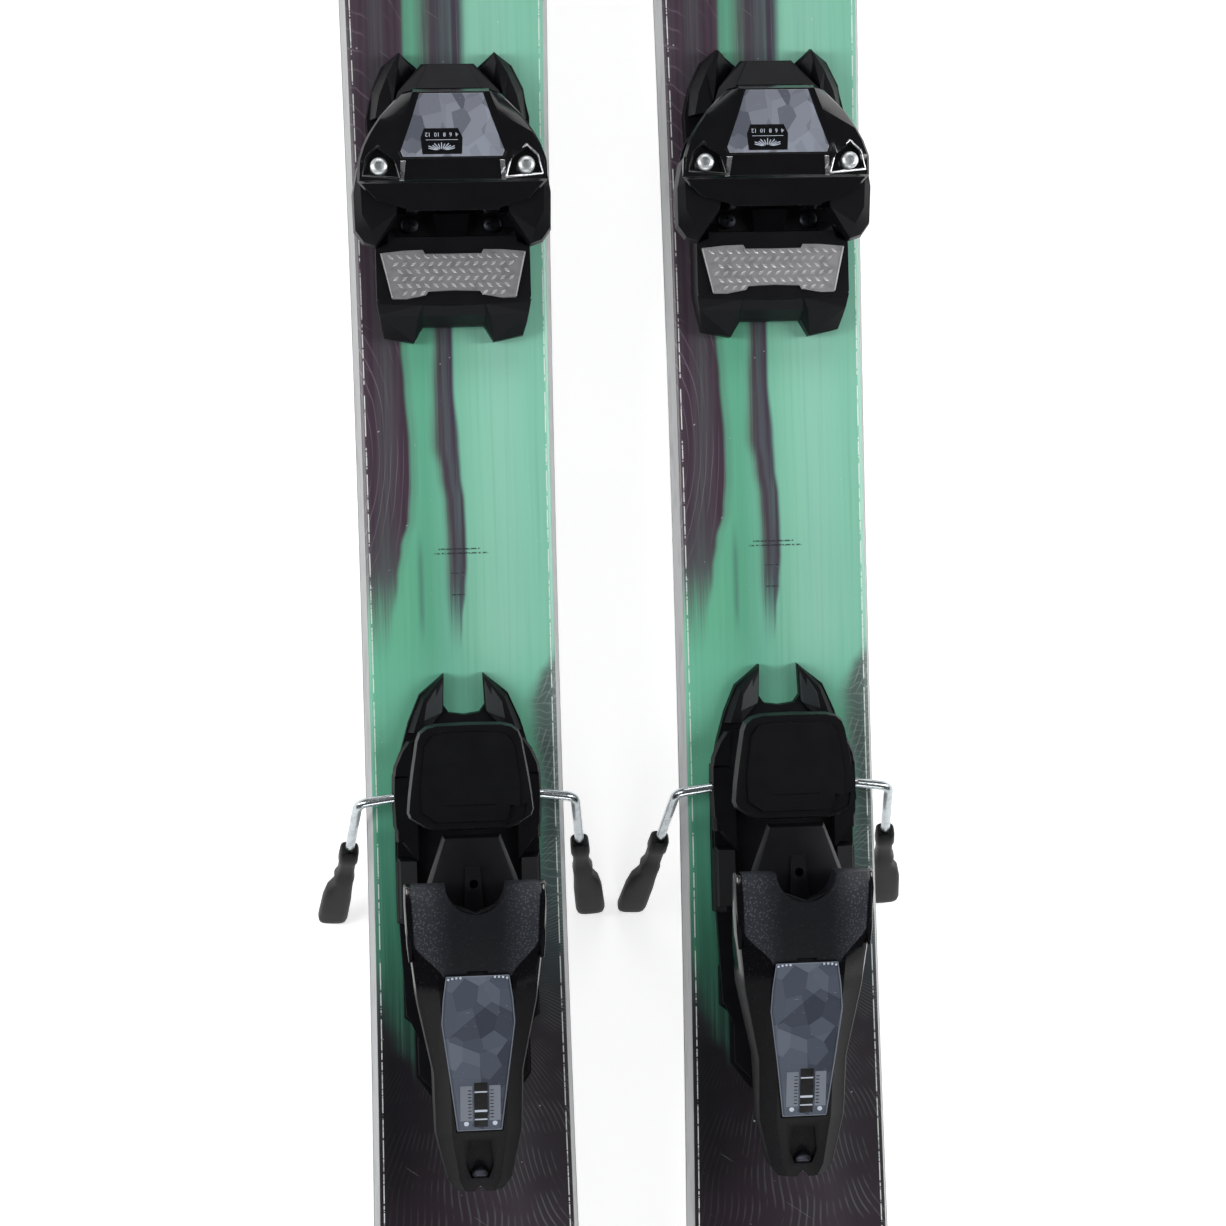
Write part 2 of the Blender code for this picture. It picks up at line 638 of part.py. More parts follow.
def make_head(lever, looks, side):
    rings = [head_ring(*station) for station in HEAD_STATIONS]
    head = solid(f"{side}_heel_housing", loft(rings), looks["gloss"], lever, HEEL_AXLE, soften=0.9)
    # spring chamber, open below, with room in front for the carriage's lugs as the lever tilts
    chamber = [head_ring(*head_station(v)[:4], 0, shrink=3.5) for v in (-24, -46.5, -79.5, -110)]
    cut(head, loft(chamber))
    cut(head, rod(13.6, (0, 2, 50), (0, 2, 90), sides=24))
    y, h = -HEEL_AXLE_BEHIND, HEEL_AXLE_HEIGHT
    cut(head, rod(HEEL_AXLE_RADIUS + GAP, (-60, y, h), (60, y, h)))
    line = (SCREW_REAR - SCREW_FRONT).normalized()
    cut(head, rod(HEEL_SCREW_RADIUS + 1.6 + GAP, SCREW_REAR - line * 35, SCREW_REAR + line * 10))

    # step-in cup: a tread under the boot's heel, held by two arms below the housing
    half = [(0, -13), (21, -13), (20, 4.5), (12, 24), (0, 24)]
    tread = prism(mirrored(half), 41, 49)
    cup = solid(f"{side}_heel_cup", tread, looks["satin"], lever, HEEL_AXLE, soften=1)
    add(cup, box((-2.2, 2.2), (-10.5, 12), (48, 52)))
    arms = [(-18.5, -9), (18.5, -9), (18.5, -24), (-18.5, -24)]
    add(cup, prism(arms, 33, lambda u, v: 47.6 + (v + 9) * 0.65))

    profile = [
        (HEEL_SCREW_RADIUS, 0),
        (HEEL_SCREW_RADIUS, 66),
        (HEEL_SCREW_RADIUS + 1.6, 66),
        (HEEL_SCREW_RADIUS + 1.6, 71),
    ]
    screw = turned(profile, SCREW_REAR - line * 71, SCREW_REAR)
    made = solid(f"{side}_heel_screw", screw, looks["zinc"], lever, SCREW_REAR)
    slot = box((-5, 5), (-3, 3), (-0.6, 0.6))
    bmesh.ops.translate(slot, verts=slot.verts, vec=SCREW_REAR + line * 1.6)
    cut(made, slot)
    coil(f"{side}_heel_spring", SCREW_FRONT + line * 2, SCREW_FRONT + line * 26, looks["zinc"], lever, HEEL_AXLE)
    nut_start = SCREW_FRONT + line * 28
    wide = SPRING_RADIUS + 1.5
    nut = turned([(wide, 0), (wide, 6)], nut_start, SCREW_REAR, sides=12)
    block = solid(f"{side}_heel_scale", nut, looks["scale"], lever, nut_start)
    cut(block, rod(HEEL_SCREW_RADIUS + GAP, nut_start - line * 5, nut_start + line * 12))

    pane = [(-35.5, 13.7), (-46, 15), (-57, 16), (-80, 13), (-105.5, 9.7)]
    tops = [head_station(v)[3] for v, _ in pane]
    rings = [
        [(-u, v, z + GAP), (u, v, z + GAP), (u, v, z + 1.3), (-u, v, z + 1.3)]
        for (v, u), z in zip(pane, tops)
    ]
    solid(f"{side}_heel_window", loft(rings), looks["window"], lever, HEEL_AXLE)


def brake_arm():
    """The bend and the lower end of the right-hand wire, in the heel piece's frame."""
    _, pivot_v, pivot_h = BRAKE_PIVOT
    top = Vector((ARM_U, pivot_v - 5.5, pivot_h - 5))
    return top, Vector((ARM_U + ARM_SPLAY, top.y - ARM_BACK, -ARM_DEPTH + 13))


def brake_tip_rings():
    """Sections of the right-hand plastic tip, from its socket to its foot: a neck that widens to a paddle."""
    top, end = brake_arm()
    along = (end - top).normalized()
    across = (Vector((1, 0, 0)) - along * along.x).normalized()
    deep = along.cross(across)
    grip, foot = top.lerp(end, 0.42), end + along * 14
    rings = []
    for share, inner, outer, thick in (
        (0, -4.2, 4.2, 4.2),
        (0.45, -4.2, 4.4, 4.2),
        (0.62, -5, 8.5, 3.9),
        (0.95, -5, 9.5, 3.6),
        (1, -3, 7.5, 3.2),
    ):
        middle = grip.lerp(foot, share)
        low_side = [(inner, -thick / 2), (inner * 0.4, -thick), (outer * 0.4, -thick), (outer, -thick / 2)]
        section = low_side + [(a, -b) for a, b in reversed(low_side)]
        rings.append([middle + across * a + deep * b for a, b in section])
    return rings


def stand_height():
    """Height of the top sheets when the pair stands on its four brake tips."""
    return -min(point.z for ring in brake_tip_rings() for point in ring)


def make_brake(carriage, looks, side):
    _, pivot_v, pivot_h = BRAKE_PIVOT
    crank_v, crank_h = pivot_v + CRANK_AHEAD, pivot_h + CRANK_RISE
    top, end = brake_arm()
    half = [
        end,
        top,
        (BRAKE_BLOCK_OUTER + 1, pivot_v, pivot_h),
        (CRANK_HALF + 1, pivot_v, pivot_h),
        (CRANK_HALF, crank_v, crank_h),
    ]
    half = [Vector(point) for point in half]
    corners = half + [Vector((-p.x, p.y, p.z)) for p in reversed(half)]
    route = rounded_route(corners, 4)
    tube(f"{side}_brake_wire", route, WIRE_RADIUS, looks["zinc"], carriage, BRAKE_PIVOT)
    along = (end - top).normalized()
    socket = (top.lerp(end, 0.42) - along * 10, end + along * GAP)
    for hand, way in SIDES:
        rings = [[(way * p.x, p.y, p.z) for p in ring] for ring in brake_tip_rings()]
        tip = solid(f"{side}_brake_tip_{hand}", loft(rings), looks["satin"], carriage, BRAKE_PIVOT)
        cut(tip, rod(WIRE_RADIUS + GAP, *[(way * p.x, p.y, p.z) for p in socket], sides=12))

    half = [(0, 27), (18, 27), (28.5, 33.5), (27, 50), (23, 72.5), (12, 75), (0, 75.5)]
    pad = prism(mirrored(half), PEDAL_BOTTOM, PEDAL_BOTTOM + PEDAL_THICKNESS)
    pedal = solid(f"{side}_brake_pedal", pad, looks["satin"], carriage, (0, crank_v, crank_h), soften=1.5)
    reach = WIRE_RADIUS + GAP + 2
    for way in (-1, 1):
        inner, outer = sorted((way * 8, way * 13))
        add(pedal, box((inner, outer), (crank_v - reach, crank_v + reach), (crank_h - reach, PEDAL_BOTTOM + 1)))
    cut(pedal, rod(WIRE_RADIUS + GAP, (-30, crank_v, crank_h), (30, crank_v, crank_h)))


def build():
    for old in list(bpy.data.objects):
        bpy.data.objects.remove(old, do_unlink=True)
    looks = finishes()
    for side, way in SIDES:
        place = (way * SKI_SPACING / 2, -BOOT_BEHIND_MIDDLE, stand_height())
        ski = frame(f"{side}_ski_frame", None, place)
        toe = frame(f"{side}_toe_frame", ski, (0, BOOT_SOLE_LENGTH / 2, 0))
        heel = frame(f"{side}_heel_frame", ski, (0, -BOOT_SOLE_LENGTH / 2, 0))
        make_ski(ski, looks, side)
        make_toe_base(toe, looks, side)
        make_toe_housing(toe, looks, side)
        make_toe_wings(toe, looks, side)
        make_toe_adjuster(toe, looks, side)
        make_afd(toe, looks, side)
        make_track(heel, looks, side)
        make_carriage(heel, looks, side)
        make_head(heel, looks, side)
        make_brake(heel, looks, side)


build()
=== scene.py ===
import json
import math
import bmesh
import bpy
from mathutils import Matrix, Vector


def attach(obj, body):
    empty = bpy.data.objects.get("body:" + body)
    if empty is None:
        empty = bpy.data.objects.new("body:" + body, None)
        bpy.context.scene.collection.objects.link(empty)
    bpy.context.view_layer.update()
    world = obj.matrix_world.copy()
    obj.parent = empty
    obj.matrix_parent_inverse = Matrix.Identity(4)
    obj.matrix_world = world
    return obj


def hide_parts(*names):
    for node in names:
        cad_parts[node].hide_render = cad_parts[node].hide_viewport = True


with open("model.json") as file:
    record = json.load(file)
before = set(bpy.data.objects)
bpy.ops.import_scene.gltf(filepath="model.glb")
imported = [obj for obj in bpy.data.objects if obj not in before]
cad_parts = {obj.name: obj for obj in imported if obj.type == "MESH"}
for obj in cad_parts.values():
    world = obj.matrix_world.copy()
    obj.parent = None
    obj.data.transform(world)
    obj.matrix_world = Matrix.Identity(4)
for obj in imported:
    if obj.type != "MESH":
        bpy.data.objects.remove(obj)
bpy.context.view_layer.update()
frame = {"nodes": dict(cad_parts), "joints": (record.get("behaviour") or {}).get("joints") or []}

mm = 0.001
sides = ("left", "right")
hands = (("left", -1), ("right", 1))
joints = {joint["name"]: joint for joint in frame["joints"]}
bootSole = 305
toeShift, heelShift = bootSole / 2, -bootSole / 2  # from the boot's middle


# where a ski's own frame sits: the boot's middle, at the top sheet
def skiOrigin(side):
    axleV, axleH = heel["axle"]
    pivot = Vector(joints[side + "_heel_lever_tilt"]["pos_m"])
    return pivot - Vector((0, heelShift + axleV, axleH)) * mm


# a colour from its six digits, made linear
def tone(code):
    parts = [int(code[i : i + 2], 16) / 255 for i in (0, 2, 4)]
    return (*[p / 12.92 if p < 0.04045 else ((p + 0.055) / 1.055) ** 2.4 for p in parts], 1.0)


# a node's output, so that sums on it are written as sums
class Flow:
    def __init__(self, paint, socket):
        self.paint, self.socket = paint, socket

    def __add__(self, other):
        return self.paint.maths("ADD", self, other)

    def __radd__(self, other):
        return self.paint.maths("ADD", other, self)

    def __sub__(self, other):
        return self.paint.maths("SUBTRACT", self, other)

    def __rsub__(self, other):
        return self.paint.maths("SUBTRACT", other, self)

    def __mul__(self, other):
        return self.paint.maths("MULTIPLY", self, other)

    def __rmul__(self, other):
        return self.paint.maths("MULTIPLY", other, self)

    def __truediv__(self, other):
        return self.paint.maths("DIVIDE", self, other)

    def __abs__(self):
        return self.paint.maths("ABSOLUTE", self)


class Paint:
    def __init__(self, name):
        self.material = bpy.data.materials.new(name)
        self.material.use_nodes = True
        self.tree = self.material.node_tree
        self.tree.nodes.clear()
        place = self.node("TexCoord", out="Object")
        self.point = self.node("VectorMath", {"operation": "SCALE"}, {0: place, "Scale": 1000.0})
        axes = self.node("SeparateXYZ", inputs={0: self.point})
        self.u = axes
        self.v = Flow(self, axes.socket.node.outputs[1])
        self.h = Flow(self, axes.socket.node.outputs[2])

    def node(self, kind, settings=None, inputs=None, out=0):
        made = self.tree.nodes.new("ShaderNode" + kind)
        for key, setting in (settings or {}).items():
            if key == "stops":
                ramp = made.color_ramp
                while len(ramp.elements) < len(setting):
                    ramp.elements.new(1.0)
                for stop, (at, colour) in zip(ramp.elements, setting):
                    stop.position, stop.color = at, colour
            elif key == "blend":
                made.color_ramp.interpolation = setting
            else:
                setattr(made, key, setting)
        for key, given in (inputs or {}).items():
            socket = made.inputs[key]
            if isinstance(given, Flow):
                self.tree.links.new(given.socket, socket)
            else:
                socket.default_value = given
        return Flow(self, made.outputs[out])

    def maths(self, operation, *numbers):
        return self.node("Math", {"operation": operation}, dict(enumerate(numbers)))

    # 0 to 1 as a value goes from low to high, with soft ends
    def rise(self, value, low, high):
        settings = {"interpolation_type": "SMOOTHSTEP"}
        flip = low > high
        ends = {"Value": value, "From Min": min(low, high), "From Max": max(low, high)}
        ends.update({"To Min": 1.0 if flip else 0.0, "To Max": 0.0 if flip else 1.0})
        return self.node("MapRange", settings, ends)

    # 1 within a half width of a centre, with soft sides
    def band(self, value, centre, half, soft):
        return self.rise(abs(value - centre), half + soft, half - soft)

    def mixed(self, low, high, share, blend="MIX"):
        inputs = {0: share, 6: low, 7: high}
        return self.node("Mix", {"data_type": "RGBA", "blend_type": blend}, inputs, out=2)

    def stretched(self, u, v, h):
        return self.node("VectorMath", {"operation": "MULTIPLY"}, {0: self.point, 1: (u, v, h)})

    def noise(self, vector, scale=1.0, detail=2.0, rough=0.5, bend=0.0):
        inputs = {"Vector": vector, "Scale": scale, "Detail": detail, "Roughness": rough, "Distortion": bend}
        return self.node("TexNoise", inputs=inputs)

    # noise that is drawn out along the axes whose share is small
    def grain(self, u, v, h, detail=3.0, rough=0.5, bend=0.0):
        return self.noise(self.stretched(u, v, h), 1.0, detail, rough, bend)

    # a colour with another one laid over it
    def over(self, colour, code, share):
        return self.mixed(colour, tone(code), share)

    # a number that follows a distance along the ski through the points given
    def course(self, along, points):
        low, high = points[0][0], points[-1][0]
        least, most = min(p[1] for p in points), max(p[1] for p in points)
        stops = []
        for at, number in points:
            grey = (number - least) / ((most - least) or 1)
            stops.append(((at - low) / (high - low), (grey, grey, grey, 1)))
        share = (along - low) / (high - low)
        ramp = self.node("ValToRGB", {"stops": stops, "blend": "EASE"}, {0: share})
        return self.node("SeparateColor", inputs={0: ramp}) * (most - least) + least

    # a colour that follows a distance through the stops given
    def colours(self, along, points):
        low, high = points[0][0], points[-1][0]
        stops = [((at - low) / (high - low), tone(code)) for at, code in points]
        return self.node("ValToRGB", {"stops": stops}, {0: (along - low) / (high - low)})

    def bump(self, height, strength=0.3, distance=0.1):
        inputs = {"Strength": strength, "Distance": distance * mm, "Height": height}
        return self.node("Bump", inputs=inputs)

    def finish(self, **inputs):
        names = {
            "colour": "Base Color", "rough": "Roughness", "metal": "Metallic", "normal": "Normal",
            "coat": "Coat Weight", "coatRough": "Coat Roughness", "ior": "IOR", "alpha": "Alpha",
            "specular": "Specular IOR Level", "glow": "Emission Color", "glowStrength": "Emission Strength",
        }
        shader = self.node("BsdfPrincipled", inputs={names[key]: given for key, given in inputs.items()})
        out = self.tree.nodes.new("ShaderNodeOutputMaterial")
        self.tree.links.new(shader.socket, out.inputs[0])
        return self.material


topSheet = {
    "leftEdge": [
        (-75, -38), (-35, -32), (-12, -28.8), (2, -26.6), (16, -22.6), (32, -21.3), (50, -21.2), (77, -22.7),
        (97, -24), (240, -19.5), (520, -12),
    ],
    "bandLeft": [
        (-60, -4), (-15, -5.6), (6, -5.4), (22, -6), (36, -8), (50, -10.6), (76, -10), (97, -9), (170, -8),
        (240, -12.5), (520, -20),
    ],
    "bandRight": [
        (-60, -2), (-32, 0.6), (-18, 2.2), (-5, 3.1), (9, 3), (22, 2.7), (36, 1.3), (50, 0.7), (76, -1),
        (97, -0.8), (170, 3), (240, 7.6), (520, 9),
    ],
    "band": [
        (0, "5c6060"), (0.2, "4c4049"), (0.42, "453947"), (0.56, "50525a"), (0.72, "4c4b55"),
        (0.86, "433547"), (1, "43344a"),
    ],
    "smokeEdge": [
        (-900, -60), (-262, -52), (-240, -22), (-215, 8), (-195, 24), (-170, 31), (-120, 35), (-85, 33.5),
        (-68, 31), (-58, 37), (-48, 44), (-36, 50), (900, 60),
    ],
    "darkLeft": [
        (-300, 10), (-262, -8), (-255, -16), (-241, -27), (-228, -35), (-214, -39.5), (-201, -43),
        (-186, -49), (-150, -56),
    ],
    "frontGreen": [
        (-46, "6cba98"), (-24, "66b291"), (-14, "60a98b"), (-5, "70b79d"), (3, "7fc0a6"), (12, "8bc9b1"),
        (22, "8fcab4"), (32, "88c8b0"), (46, "80c1a8"),
    ],
    "rearGreen": [
        (-300, "141118"), (-262, "17141b"), (-240, "1f2d2c"), (-212, "2a5446"), (-180, "38755f"),
        (-150, "458770"), (-120, "57a185"), (-90, "66b091"), (-55, "72bda2"),
    ],
    "smoke": [
        (-300, "342d37"), (-270, "322e34"), (-240, "302e34"), (-210, "34363a"), (-180, "3f494c"),
        (-150, "475757"), (-60, "52655f"),
    ],
    "tail": [
        (-46, "1b181e"), (-37, "121017"), (-24, "201b22"), (-10, "2c262d"), (5, "373138"), (20, "3f3a41"),
        (32, "342f36"), (46, "302b31"),
    ],
}


# the printed film under clear lacquer on both skis
def paintTopSheet():
    p = Paint("topSheetFilm")
    long = p.stretched(0.03, 0.006, 0)
    sway = (p.noise(long, 1.0, 2.0) - 0.5) * 5
    streak = p.grain(0.5, 0.007, 0)
    fine = p.grain(1.6, 0.02, 0)
    u, v = p.u, p.v
    # greens
    front = p.colours(u + sway, topSheet["frontGreen"])
    rear = p.colours(v + (streak - 0.5) * 16, topSheet["rearGreen"])
    colour = p.mixed(front, rear, p.rise(v, -35.0, -85.0))
    colour = p.over(colour, "5b9f84", p.rise(streak, 0.45, 0.8) * 0.3)
    colour = p.over(colour, "a4d8c4", p.rise(fine, 0.45, 0.9) * 0.14)
    # the plum field on the left, with a slate smear
    fade = v + (fine - 0.5) * 34 + (streak - 0.5) * 26
    fromEdge = u + sway * 0.3 - p.course(v, topSheet["leftEdge"])
    field = p.rise(fromEdge, 1.4, -1.4) * p.rise(fade, -52.0, -8.0)
    smear = p.band(u + sway, p.course(v, [(-70, -34), (0, -34), (60, -31), (240, -33), (900, -30)]), 3.0, 3.6)
    plum = p.mixed(tone("40333f"), tone("50454f"), p.rise(streak, 0.35, 0.75) * 0.8)
    plum = p.over(plum, "54605f", smear * p.rise(fine, 0.2, 0.7) * 0.5)
    plum = p.over(plum, "63716f", p.rise(v, 20.0, -35.0) * 0.55)
    colour = p.mixed(colour, plum, field)
    rim = p.band(fromEdge, 1.6, 1.0, 2.0) * p.rise(fade, -40.0, 30.0)
    colour = p.over(colour, "54716b", rim * 0.5)
    # a wavy band down the middle, plum at its borders and slate between
    gone = p.rise(fade, -52.0, -16.0)
    low, high = p.course(v, topSheet["bandLeft"]), p.course(v, topSheet["bandRight"])
    share = (u + sway * 0.2 - low) / (high - low)
    bandTone = p.colours(share + (fine - 0.5) * 0.4 + (streak - 0.5) * 0.4, topSheet["band"])
    bandTone = p.over(bandTone, "56716f", p.rise(v, 0.0, -40.0) * 0.6)
    inBand = p.rise(share + (fine - 0.5) * 0.25, -0.3, 0.3) * p.rise(share, 1.16, 0.9)
    colour = p.mixed(colour, bandTone, inBand * gone * (p.rise(streak, 0.3, 0.5) * 0.12 + 0.86))
    wisp = p.band(u + sway * 0.3, -18.0, 0.8, 1.7) * p.rise(v, 14.0, -8.0) * p.rise(v, -46.0, -26.0)
    colour = p.over(colour, "4c6f68", wisp * 0.75)
    # smoke from the right edge, then over the whole tail
    drift = (p.grain(0.05, 0.03, 0) - 0.5) * 10
    smokeMask = p.rise(u + drift - p.course(v, topSheet["smokeEdge"]), -4.5, 4.5)
    wedge = p.rise(u + drift * 0.6 - p.course(v, topSheet["darkLeft"]), 6.0, -4.0) * p.rise(v, -160.0, -190.0)
    smokeMask = p.maths("MAXIMUM", smokeMask, wedge)
    dark = p.mixed(p.colours(v, topSheet["smoke"]), p.colours(u, topSheet["tail"]), p.rise(v, -195.0, -240.0))
    dark = p.over(dark, "6b7a78", p.rise(streak, 0.5, 0.85) * p.rise(v, -200.0, -90.0) * 0.4)
    dark = p.over(dark, "33262f", p.rise(v, -262.0, -330.0) * 0.35)
    colour = p.mixed(colour, dark, smokeMask)
    # fine light hair lines that fan out from the heel over the smoke and the tail
    fan = p.maths("ARCTAN2", v + 190, u + 6) * 230 + (p.grain(0.02, 0.02, 0, 1.0) - 0.5) * 30
    hair = p.rise(p.maths("SINE", fan), 0.55, 1.0) * p.rise(p.grain(0.06, 0.06, 0, 2.0), 0.4, 0.6)
    strength = p.course(v, [(-320, 0.22), (-230, 0.2), (-100, 0.45), (900, 0.45)])
    hairMask = smokeMask * p.rise(v, -700.0, -300.0) * p.rise(u, -60.0, 30.0) * strength
    colour = p.over(colour, "8d9a97", hair * hairMask)
    waves = {
        "Vector": p.stretched(0.16, 0.1, 0), "Scale": 1.0,
        "Distortion": 9.0, "Detail": 1.0, "Detail Scale": 0.6,
    }
    curl = p.node("TexWave", {"wave_type": "RINGS"}, waves, out="Fac")
    curls = p.rise(curl, 0.86, 1.0) * smokeMask * p.rise(u, 22.0, 34.0) * p.rise(v, -190.0, -150.0)
    colour = p.over(colour, "a9b5b2", curls * 0.2)
    # faint contour lines in the plum field
    ends = {0: p.stretched(1.0, 0.34, 0), 1: (-52.0, 16.0, 0.0)}
    centre = p.node("VectorMath", {"operation": "DISTANCE"}, ends, out=1)
    rings = centre * 2.1 + (p.noise(long, 2.5, 2.0) - 0.5) * 9
    patchy = p.rise(p.grain(0.05, 0.02, 0, 1.0), 0.4, 0.6)
    contour = p.rise(p.maths("SINE", rings), 0.86, 1.0) * field * patchy
    colour = p.over(colour, "8a7889", contour * 0.42)
    # scratches across the lacquer
    turned = p.node("VectorRotate", {"rotation_type": "Z_AXIS"}, {"Vector": p.point, "Angle": 0.62})
    thin = p.node("VectorMath", {"operation": "MULTIPLY"}, {0: turned, 1: (0.03, 1.7, 0.0)})
    scratch = p.rise(p.noise(thin, 1.0, 2.0), 0.7, 0.74) * p.rise(p.grain(0.03, 0.03, 0, 1.0), 0.5, 0.6)
    colour = p.over(colour, "b9cdc6", scratch * 0.32)
    # the mounting marks: a long double line at the boot's middle and short ones behind it
    worn = p.rise(p.noise(p.point, 0.9, 2.0), 0.38, 0.5)
    middle = p.band(v, 1.2, 0.35, 0.12) * p.band(u, 0.0, 9.5, 0.3)
    middle = middle + p.band(v, -0.8, 0.35, 0.12) * p.band(u, 1.0, 12.5, 0.3)
    behind = (p.band(v, -10.0, 0.22, 0.1) + p.band(v, -20.0, 0.3, 0.1)) * p.band(u, -1.0, 3.2, 0.2)
    colour = p.over(colour, "26262b", (middle + behind) * worn * 0.85)
    # the crease where the top turns down to the side wall, with a painted highlight along it: the lamps'
    # reflection, broken into dashes where the edge is chipped
    waist = (v + 60) * (v + 60)
    half = waist * p.course(v, [(-900, 1 / 34000), (-61, 1 / 34000), (-59, 1 / 40000), (900, 1 / 40000)]) + 46
    crease = half - abs(u)
    dashes = p.rise(p.grain(0.0, 0.11, 0, 4.0, 0.75), 0.44, 0.5)
    # painted highlight: near-white dashes along the crease
    creaseHighlight = p.band(crease, 4.7, 0.22, 0.14) * dashes * p.rise(abs(v - 60), 690.0, 640.0)
    colour = p.over(colour, "edf3f0", creaseHighlight * 0.9)
    speck = p.rise(p.grain(0.35, 0.35, 0, 1.0), 0.78, 0.8)
    colour = p.over(colour, "c6d2cf", speck * 0.5)
    rough = p.grain(0.2, 0.05, 0) * 0.16 + 0.24 + scratch * 0.2
    normal = p.bump(p.grain(0.5, 0.2, 0, 2.0), 0.12, 0.05)
    return p.finish(colour=colour, rough=rough, normal=normal, coat=0.25, coatRough=0.12, specular=0.35)


# moulded plastic: base colour, how shiny, grain and scuffs
def paintPlastic(name, base, scuff, rough, grain, coat=0.0, shine=0.5):
    p = Paint(name)
    cloud = p.noise(p.point, 0.09, 3.0)
    dust = p.rise(p.noise(p.point, 0.8, 4.0, 0.7), 0.6, 0.78)
    marks = p.rise(p.grain(0.3, 1.4, 0.5, 3.0, 0.6, 0.6), 0.66, 0.7)
    colour = p.mixed(tone(base), tone(scuff), cloud * 0.25 + dust * 0.22 + marks * 0.18)
    roughness = cloud * 0.12 + rough - 0.06 + dust * 0.12 + marks * 0.1
    normal = p.bump(p.noise(p.point, grain, 2.0) + marks * 0.2, 0.25, 0.06)
    return p.finish(colour=colour, rough=roughness, normal=normal, coat=coat, coatRough=0.06, specular=shine)


def paintMetal(name, base, stain, rough, along=(0.1, 2.0, 2.0)):
    p = Paint(name)
    brushed = p.grain(*along, 4.0, 0.7)
    cloud = p.noise(p.point, 0.25, 3.0)
    colour = p.mixed(tone(base), tone(stain), p.rise(cloud, 0.4, 0.8) * 0.55 + brushed * 0.15)
    roughness = brushed * 0.18 + cloud * 0.1 + rough - 0.12
    return p.finish(colour=colour, rough=roughness, metal=1.0, normal=p.bump(brushed, 0.08, 0.03))


# printed panels of flat facets under clear plastic
def paintFacets(name, stops, size):
    p = Paint(name)
    bent = p.node("VectorMath", {"operation": "MULTIPLY"}, {0: p.point, 1: (1.0, 0.8, 0.0)})
    cells = p.node(
        "TexVoronoi", {"voronoi_dimensions": "2D"}, {"Vector": bent, "Scale": 1 / size}, out="Color",
    )
    shade = p.node("SeparateColor", inputs={0: cells})
    slices = p.node(
        "TexVoronoi", {"voronoi_dimensions": "2D"}, {"Vector": bent, "Scale": 0.55 / size}, out="Color",
    )
    mixed = shade * 0.6 + p.node("SeparateColor", inputs={0: slices}) * 0.4
    colour = p.node("ValToRGB", {"stops": [(at, tone(code)) for at, code in stops]}, {0: mixed})
    rough = p.noise(p.point, 0.3, 2.0) * 0.08 + 0.1
    scuffs = p.rise(p.grain(0.3, 1.2, 1), 0.7, 0.74)
    colour = p.over(colour, "b4bac4", scuffs * 0.25)
    return p.finish(colour=colour, rough=rough, coat=1.0, coatRough=0.04)


# the heel housing: gloss sides, and a stippled matt field in front of its label
def paintHeelHousing():
    p = Paint("heelHousingBlack")
    back = p.v - heelShift
    reach = p.course(back, [(-60, 2), (-37, 15), (-20, 27.5), (8, 28.5), (20, 28.5)])
    matt = p.rise(abs(p.u) - reach, 0.5, -0.5) * p.rise(p.h, 55.0, 60.0) * p.rise(back, -36.5, -35.5)
    dots = p.node("TexVoronoi", {"voronoi_dimensions": "3D"}, {"Vector": p.point, "Scale": 0.85})
    dots = p.rise(dots, 0.42, 0.2) * matt
    dust = p.rise(p.noise(p.point, 0.7, 4.0, 0.7), 0.56, 0.76)
    sides = p.rise(abs(p.u), 9.0, 25.0)
    colour = p.mixed(tone("0a0a0d"), p.mixed(tone("16171b"), tone("2b2d33"), sides), matt)
    colour = p.over(colour, "5d6268", dots * sides * 0.5 + dust * 0.14)
    rough = p.maths("MAXIMUM", matt * 0.32, p.rise(back, -38.0, -46.0) * 0.42) + 0.1 + dust * 0.12
    normal = p.bump(dots + p.noise(p.point, 1.2, 2.0) * 0.2, 0.3, 0.12)
    return p.finish(colour=colour, rough=rough, normal=normal, specular=0.17)


def paintWood():
    p = Paint("laminatedCore")
    strips = p.maths("FLOOR", p.node("SeparateXYZ", inputs={0: p.point}) / 11)
    shade = p.maths("FRACT", strips * 0.37 + 3)
    grain = p.grain(1.2, 0.03, 1.2, 5.0, 0.6)
    colour = p.mixed(tone("b08a5a"), tone("d0ae7c"), shade * 0.5 + grain * 0.5)
    return p.finish(colour=colour, rough=grain * 0.2 + 0.55, normal=p.bump(grain, 0.3, 0.1))


def paintSidewall():
    p = Paint("sidewallGrey")
    lines = p.grain(0.3, 0.01, 2.2)
    dirt = p.rise(p.grain(0.1, 0.04, 0.2, 4.0), 0.5, 0.75)
    colour = p.mixed(tone("a6a8a9"), tone("7f8183"), lines * 0.5)
    colour = p.over(colour, "55565a", dirt * 0.35)
    return p.finish(colour=colour, rough=lines * 0.2 + 0.3, normal=p.bump(lines, 0.2, 0.08))


def paintBase():
    p = Paint("sinteredBase")
    stone = p.grain(2.4, 0.04, 1, 3.0, 0.7)
    flecks = p.rise(p.grain(0.5, 0.1, 1), 0.6, 0.75)
    colour = p.mixed(tone("161619"), tone("2c2c31"), stone * 0.6 + flecks * 0.4)
    return p.finish(colour=colour, rough=stone * 0.2 + 0.3, normal=p.bump(stone, 0.35, 0.05))


print("mixing finishes")
